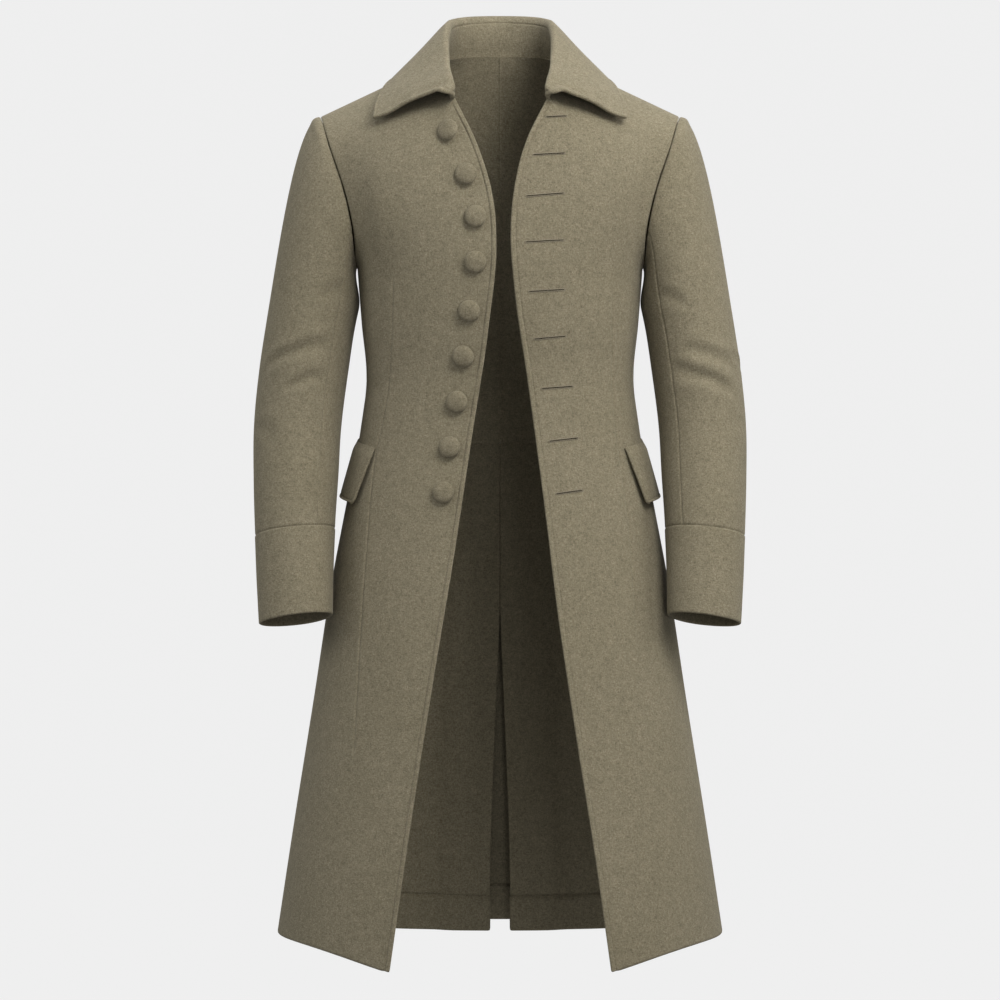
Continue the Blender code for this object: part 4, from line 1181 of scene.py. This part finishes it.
def pocket_flaps():
    """Slanted flaps round the side seams: rings at slanting heights, lifted off the coat at the foot."""
    down = close_steps(0.0, 1.0 - FLAP_WALL / 2 / FLAP_LENGTH, 26, (0.01,),
                       (0.003, 0.008, 0.015, 0.023, 0.031, 0.038, 0.044, 0.050, 0.057, 0.066, 0.08))
    close = (0.006, 0.010, 0.012, 0.014, 0.016, 0.018, 0.020, 0.024, 0.032)
    across = close_steps(0.013, 0.987, 52, close, close)
    start = (FLAP_FRONT_TOP + (FLAP_FRONT_BOTTOM - FLAP_FRONT_TOP) * down)[:, None]
    into_corner = np.clip(1 - (down[-1] - down) * FLAP_LENGTH / FLAP_CORNER, 0, 1)[:, None]
    inset = FLAP_CORNER * (1 - np.sqrt(1 - into_corner**2))
    place = start + inset + (FLAP_BACK - start - 2 * inset) * across[None, :]
    height = FLAP_TOP + (FLAP_BOTTOM - FLAP_TOP) * down[:, None] + FLAP_RISE * (place - start)
    flat_height, flat_place = height.ravel(), place.ravel()
    behind = flat_place > 0
    front = walk(ring(flat_height, 0 * flat_height, False)[:, ::-1], np.abs(flat_place)[:, None])[:, 0]
    back = walk(ring(flat_height, 0 * flat_height, True)[:, ::-1], np.abs(flat_place)[:, None])[:, 0]
    skin = np.where(behind[:, None], back, front).reshape(*place.shape, 3)
    normals = grid_normals(skin, from_axis(skin))
    lift = FLAP_LIFT_TOP + (FLAP_LIFT_BOTTOM - FLAP_LIFT_TOP) * down[:, None] ** 0.7
    width = FLAP_BACK - start
    near = np.minimum(np.minimum(across[None, :] * width, (1 - across[None, :]) * width),
                      (1 - down[:, None]) * FLAP_LENGTH)
    form = FLAP_RIM * ease((FLAP_STITCH_IN + 0.0009 - near) / 0.0014)
    form = form - FLAP_PRESS * bell(near - FLAP_STITCH_IN - 0.0002, 0.0010)
    sag = 0.0012 * np.sin(across[None, :] * math.pi) * down[:, None]
    thickness = FLAP_WALL * (0.4 + 0.6 * ease(down * FLAP_LENGTH / 0.012))[:, None] + 0 * near
    outer = skin + normals * (lift + thickness + form + sag)[..., None]
    for side, tag in SIDES:
        cloth("flap_panel_" + tag, ["pocket_flap_" + tag], outer, normals, thickness,
              ("left", "right", "top", "bottom"), side)
    row = int(np.argmin(np.abs((1 - down) * FLAP_LENGTH - FLAP_STITCH_IN)))
    column = int(np.argmin(np.abs(across * 0.15 - FLAP_STITCH_IN)))
    path, facing = (
        np.concatenate([grid[:row, column], grid[row, column:-column], grid[row::-1, -column - 1]])
        for grid in (outer, normals))
    sew("flap_stitching", [(path, facing), (path * MIRROR, facing * MIRROR)])


# Fastenings


SLIT_LOOP = 0.00105
SLIT_THREAD = 0.00055
SLIT_STITCH_STEP = 0.0010
SLIT_HALF = 0.00082


def surface_finder(front, side):
    """Finds the point and facing of a front panel straight behind a place seen from the front."""
    points, normals = front[0] * np.array([side, 1.0, 1.0]), front[1] * np.array([side, 1.0, 1.0])
    quads = grid_quads(*points.shape[:2])
    tree = BVHTree.FromPolygons(points.reshape(-1, 3).tolist(), quads.tolist())
    corner_normals = normals.reshape(-1, 3)

    def find(x, z):
        hit, _, face, _ = tree.ray_cast(Vector((x, -1.0, z)), Vector((0, 1, 0)))
        return np.array(hit), unit(corner_normals[quads[face]].mean(axis=0))
    return find


def buttons(front):
    """Domed buttons covered in cloth: a profile turned round its axis, a little uneven, with the cloth
    drawn in small tucks under the rim."""
    find = surface_finder(front, -1)
    t = np.linspace(0, len(BUTTON_PROFILE) - 1, 56)
    radius, rise = smooth(np.arange(len(BUTTON_PROFILE)), BUTTON_PROFILE, t).T
    radius = np.clip(radius, 0.00002, None)
    turn = np.linspace(0, 2 * math.pi, 73)[:-1]
    for number, (height, x) in enumerate(BUTTONS, 1):
        seat, facing = find(x, height)
        tilt = math.radians(BUTTON_TILTS[number - 1])
        across = unit(np.cross(facing, np.array([0.0, 0.0, 1.0])))
        facing = facing * math.cos(tilt) + across * math.sin(tilt) * np.sign(-across[0])
        seat = seat + facing * BUTTON_RADIUS * 0.5 * math.sin(tilt)
        across = unit(np.cross(facing, np.array([0.0, 0.0, 1.0])))
        up = np.cross(facing, across)
        under = ease((0.0030 - rise) / 0.0020)[:, None]
        tucks = 1 + 0.020 * under * np.sin(turn * 15 + number)[None, :]
        uneven = 1 + 0.012 * np.sin(turn * 2 + number * 1.7)[None, :] * (radius / BUTTON_RADIUS)[:, None]
        r = radius[:, None] * tucks * uneven
        wobble = 0.0003 * np.sin(turn * 3 + number)[None, :] * (radius / BUTTON_RADIUS)[:, None]
        lift = 0.0005 + rise[:, None] + wobble
        round_it = np.cos(turn)[None, :, None] * across + np.sin(turn)[None, :, None] * up
        points = seat + r[..., None] * round_it + lift[..., None] * facing
        rows, columns = points.shape[:2]
        quads = grid_quads(rows, columns, True)
        count = rows * columns
        last = count - columns
        ends = np.stack([points[0].mean(axis=0), points[-1].mean(axis=0)])
        vertices = np.concatenate([points.reshape(-1, 3), ends])
        at = np.arange(columns)
        following = np.roll(at, -1)
        caps = [np.stack([count + 0 * at, following, at], axis=1),
                np.stack([count + 1 + 0 * at, last + at, last + following], axis=1)]
        triangles = np.concatenate([quads[:, [0, 1, 2]], quads[:, [0, 2, 3]], *caps])
        piece = mesh_object(f"covered_button_{number}", vertices, triangles, BUTTON_WOOL)
        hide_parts(f"button_{number}")


def slot_outline(length, half):
    """Outline of a slot with round ends: its lower side and outer end, then the same turned about the
    middle of the slot."""
    t = np.arange(200) / 200
    straight = length / (length + math.pi * half)
    turn = math.pi * np.clip((t - straight) / (1 - straight), 0, 1)
    x = length * np.clip(t / straight, 0, 1) + half * np.sin(turn)
    y = -half * np.cos(turn)
    return np.concatenate([x, length - x]), np.concatenate([y, -y])


def buttonholes(front):
    """Worked buttonholes: a closed loop of close stitches with a bar at the far end, round a slit shown as a
    near-black sheet of painted shade.
    """
    find = surface_finder(front, 1)
    lips, slit_shades = [], []
    turn = np.linspace(0, 2 * math.pi, 9)[:-1]
    for height, start, stop, rise in BUTTONHOLES:
        length = stop - start
        x, y = slot_outline(length, SLIT_LOOP)
        found = [find(start + a, height + rise * a / length + b) for a, b in zip(x, y)]
        path = np.array([p for p, _ in found])
        facing = unit(np.array([n for _, n in found]))
        ahead = unit(np.roll(path, -1, axis=0) - np.roll(path, 1, axis=0))
        across = np.cross(ahead, facing)
        ribs = np.arange(len(x)) / len(x) * 2 * (length + math.pi * SLIT_LOOP) / SLIT_STITCH_STEP
        radius = SLIT_THREAD * (1 + 0.16 * np.sin(2 * math.pi * ribs))
        tube = (path[:, None] + facing[:, None] * 0.00022
                + radius[:, None, None] * (np.cos(turn)[None, :, None] * across[:, None]
                                           + 0.8 * np.sin(turn)[None, :, None] * facing[:, None]))
        lips.append(tube)
        # A thin near-black sheet over the slit: painted shade standing for the shadow inside the cut
        u = np.linspace(0, 1, 60)
        bed = np.array([find(start + length * a, height + rise * a)[0] for a in u])
        up = facing[len(facing) // 4]
        wide = np.cross(unit(bed[-1] - bed[0]), up)
        slit_half = SLIT_HALF * np.sqrt(np.clip(1 - (2 * u - 1) ** 6, 0.02, 1))
        wide = wide * slit_half[:, None]
        levels = [bed + wide * q + up * (0.00018 - 0.0001 * abs(q)) for q in (-1, -0.4, 0.4, 1)]
        levels += [bed + wide * q - up * 0.0012 for q in (1, -1)]
        slit_shades.append(np.stack(levels, axis=1))
    tube_set("buttonhole_stitching", lips, BUTTONHOLE_THREAD, True)
    tube_set("buttonhole_slit_shades", slit_shades, PAINTED_SLIT_SHADE, False)


def tube_set(name, tubes, material, closed):
    """One piece from several tubes, each a grid of rings; open ones get flat ends."""
    vertices, faces, made = [], [], 0
    for tube in tubes:
        rows, columns = tube.shape[:2]
        count = rows * columns
        quads = grid_quads(rows + 1 if closed else rows, columns, True) % count + made
        faces += [quads[:, [0, 1, 2]], quads[:, [0, 2, 3]]]
        if not closed:
            fan = np.arange(1, columns - 1)
            last = count - columns
            faces += [np.stack([0 * fan, fan + 1, fan], axis=1) + made,
                      np.stack([0 * fan, fan, fan + 1], axis=1) + last + made]
        vertices.append(tube.reshape(-1, 3))
        made += count
    return mesh_object(name, np.concatenate(vertices), np.concatenate(faces), material)


def front_stitching(fronts):
    """Topstitching along both front edges, on the outside."""
    for side, tag in SIDES:
        points, normals, steps, rank = fronts[tag]
        column = int(np.argmin(np.abs(steps[0] - STITCH_IN)))
        rows = rank < EDGE_ROWS - 0.1
        mirror = np.array([side, 1.0, 1.0])
        sew("front_stitching_" + tag, [(points[rows, column] * mirror, normals[rows, column] * mirror)])


# Stage


def stage():
    """Pale round floor that curves up all round into a wall: a profile turned about the upright axis."""
    t = np.linspace(0, 1, 60)
    bend = math.pi / 2 * np.clip((t - 0.35) / 0.4, 0, 1)
    radius = 6.5 * np.clip(t / 0.35, 0, 1) + 3.5 * np.sin(bend)
    rise = 3.5 * (1 - np.cos(bend)) + 14.0 * np.clip((t - 0.75) / 0.25, 0, 1)
    turn = np.linspace(0, 2 * math.pi, 129)[:-1]
    points = np.stack([radius[:, None] * np.cos(turn), radius[:, None] * np.sin(turn),
                       FLOOR + rise[:, None] + 0 * turn], axis=2)[1:]
    rows, columns = points.shape[:2]
    faces = grid_quads(rows, columns, True).tolist() + [list(range(columns))]
    mesh = bpy.data.meshes.new("floor")
    mesh.from_pydata(points.reshape(-1, 3).tolist(), [], faces)
    mesh.shade_smooth()
    floor = bpy.data.objects.new("floor", mesh)
    bpy.context.scene.collection.objects.link(floor)
    mat = bpy.data.materials.new("pale_paper")
    mat.use_nodes = True
    shader = mat.node_tree.nodes["Principled BSDF"]
    for socket, value in (("Base Color", (0.02, 0.02, 0.02, 1.0)), ("Roughness", 1.0),
                          ("Specular IOR Level", 0.0), ("Emission Color", BACKDROP),
                          ("Emission Strength", 1.0)):
        shader.inputs[socket].default_value = value
    floor.data.materials.append(mat)
    floor.visible_diffuse = False
    floor.visible_glossy = False
    floor.visible_shadow = False


def area_light(name, place, aim, size, power, colour):
    """Square soft light at a place, pointed at an aim."""
    data = bpy.data.lights.new(name, "AREA")
    data.shape = "SQUARE"
    data.size = size
    data.energy = power
    data.color = colour
    lamp = bpy.data.objects.new(name, data)
    lamp.location = place
    lamp.rotation_euler = (Vector(aim) - Vector(place)).to_track_quat("-Z", "Y").to_euler()
    bpy.context.scene.collection.objects.link(lamp)


def lights_and_camera():
    """The lights, a world that is darker below, and the camera straight in front of the coat."""
    for row in LIGHTS:
        area_light(*row)
    scene = bpy.context.scene
    world = bpy.data.worlds.new("studio")
    world.use_nodes = True
    tree = world.node_tree
    background = tree.nodes["Background"]
    background.inputs["Color"].default_value = (1.0, 1.0, 1.0, 1.0)
    split = add_node(tree, "SeparateXYZ", (), ((0, add_node(tree, "TexCoord").outputs["Generated"]),))
    ends = (("From Min", -0.5), ("From Max", 0.3), ("To Min", 0.26), ("To Max", 0.40))
    upward = add_node(tree, "MapRange", ends, (("Value", split.outputs[2]),))
    tree.links.new(upward.outputs["Result"], background.inputs["Strength"])
    scene.world = world
    scene.view_settings.view_transform = "Standard"
    camera_data = bpy.data.cameras.new("camera")
    camera_data.lens = CAMERA_LENS
    camera_data.sensor_width = 36.0
    camera_data.clip_end = 60.0
    camera = bpy.data.objects.new("camera", camera_data)
    camera.location = CAMERA_PLACE
    camera.rotation_euler = (math.pi / 2, 0.0, 0.0)
    scene.collection.objects.link(camera)
    scene.camera = camera


stage()
lights_and_camera()
fronts, upper_back = body()
pleat()
sleeves(fronts, upper_back)
collar(fronts, upper_back)
pocket_flaps()
front_stitching(fronts)
buttons(fronts["right"])
buttonholes(fronts["left"])
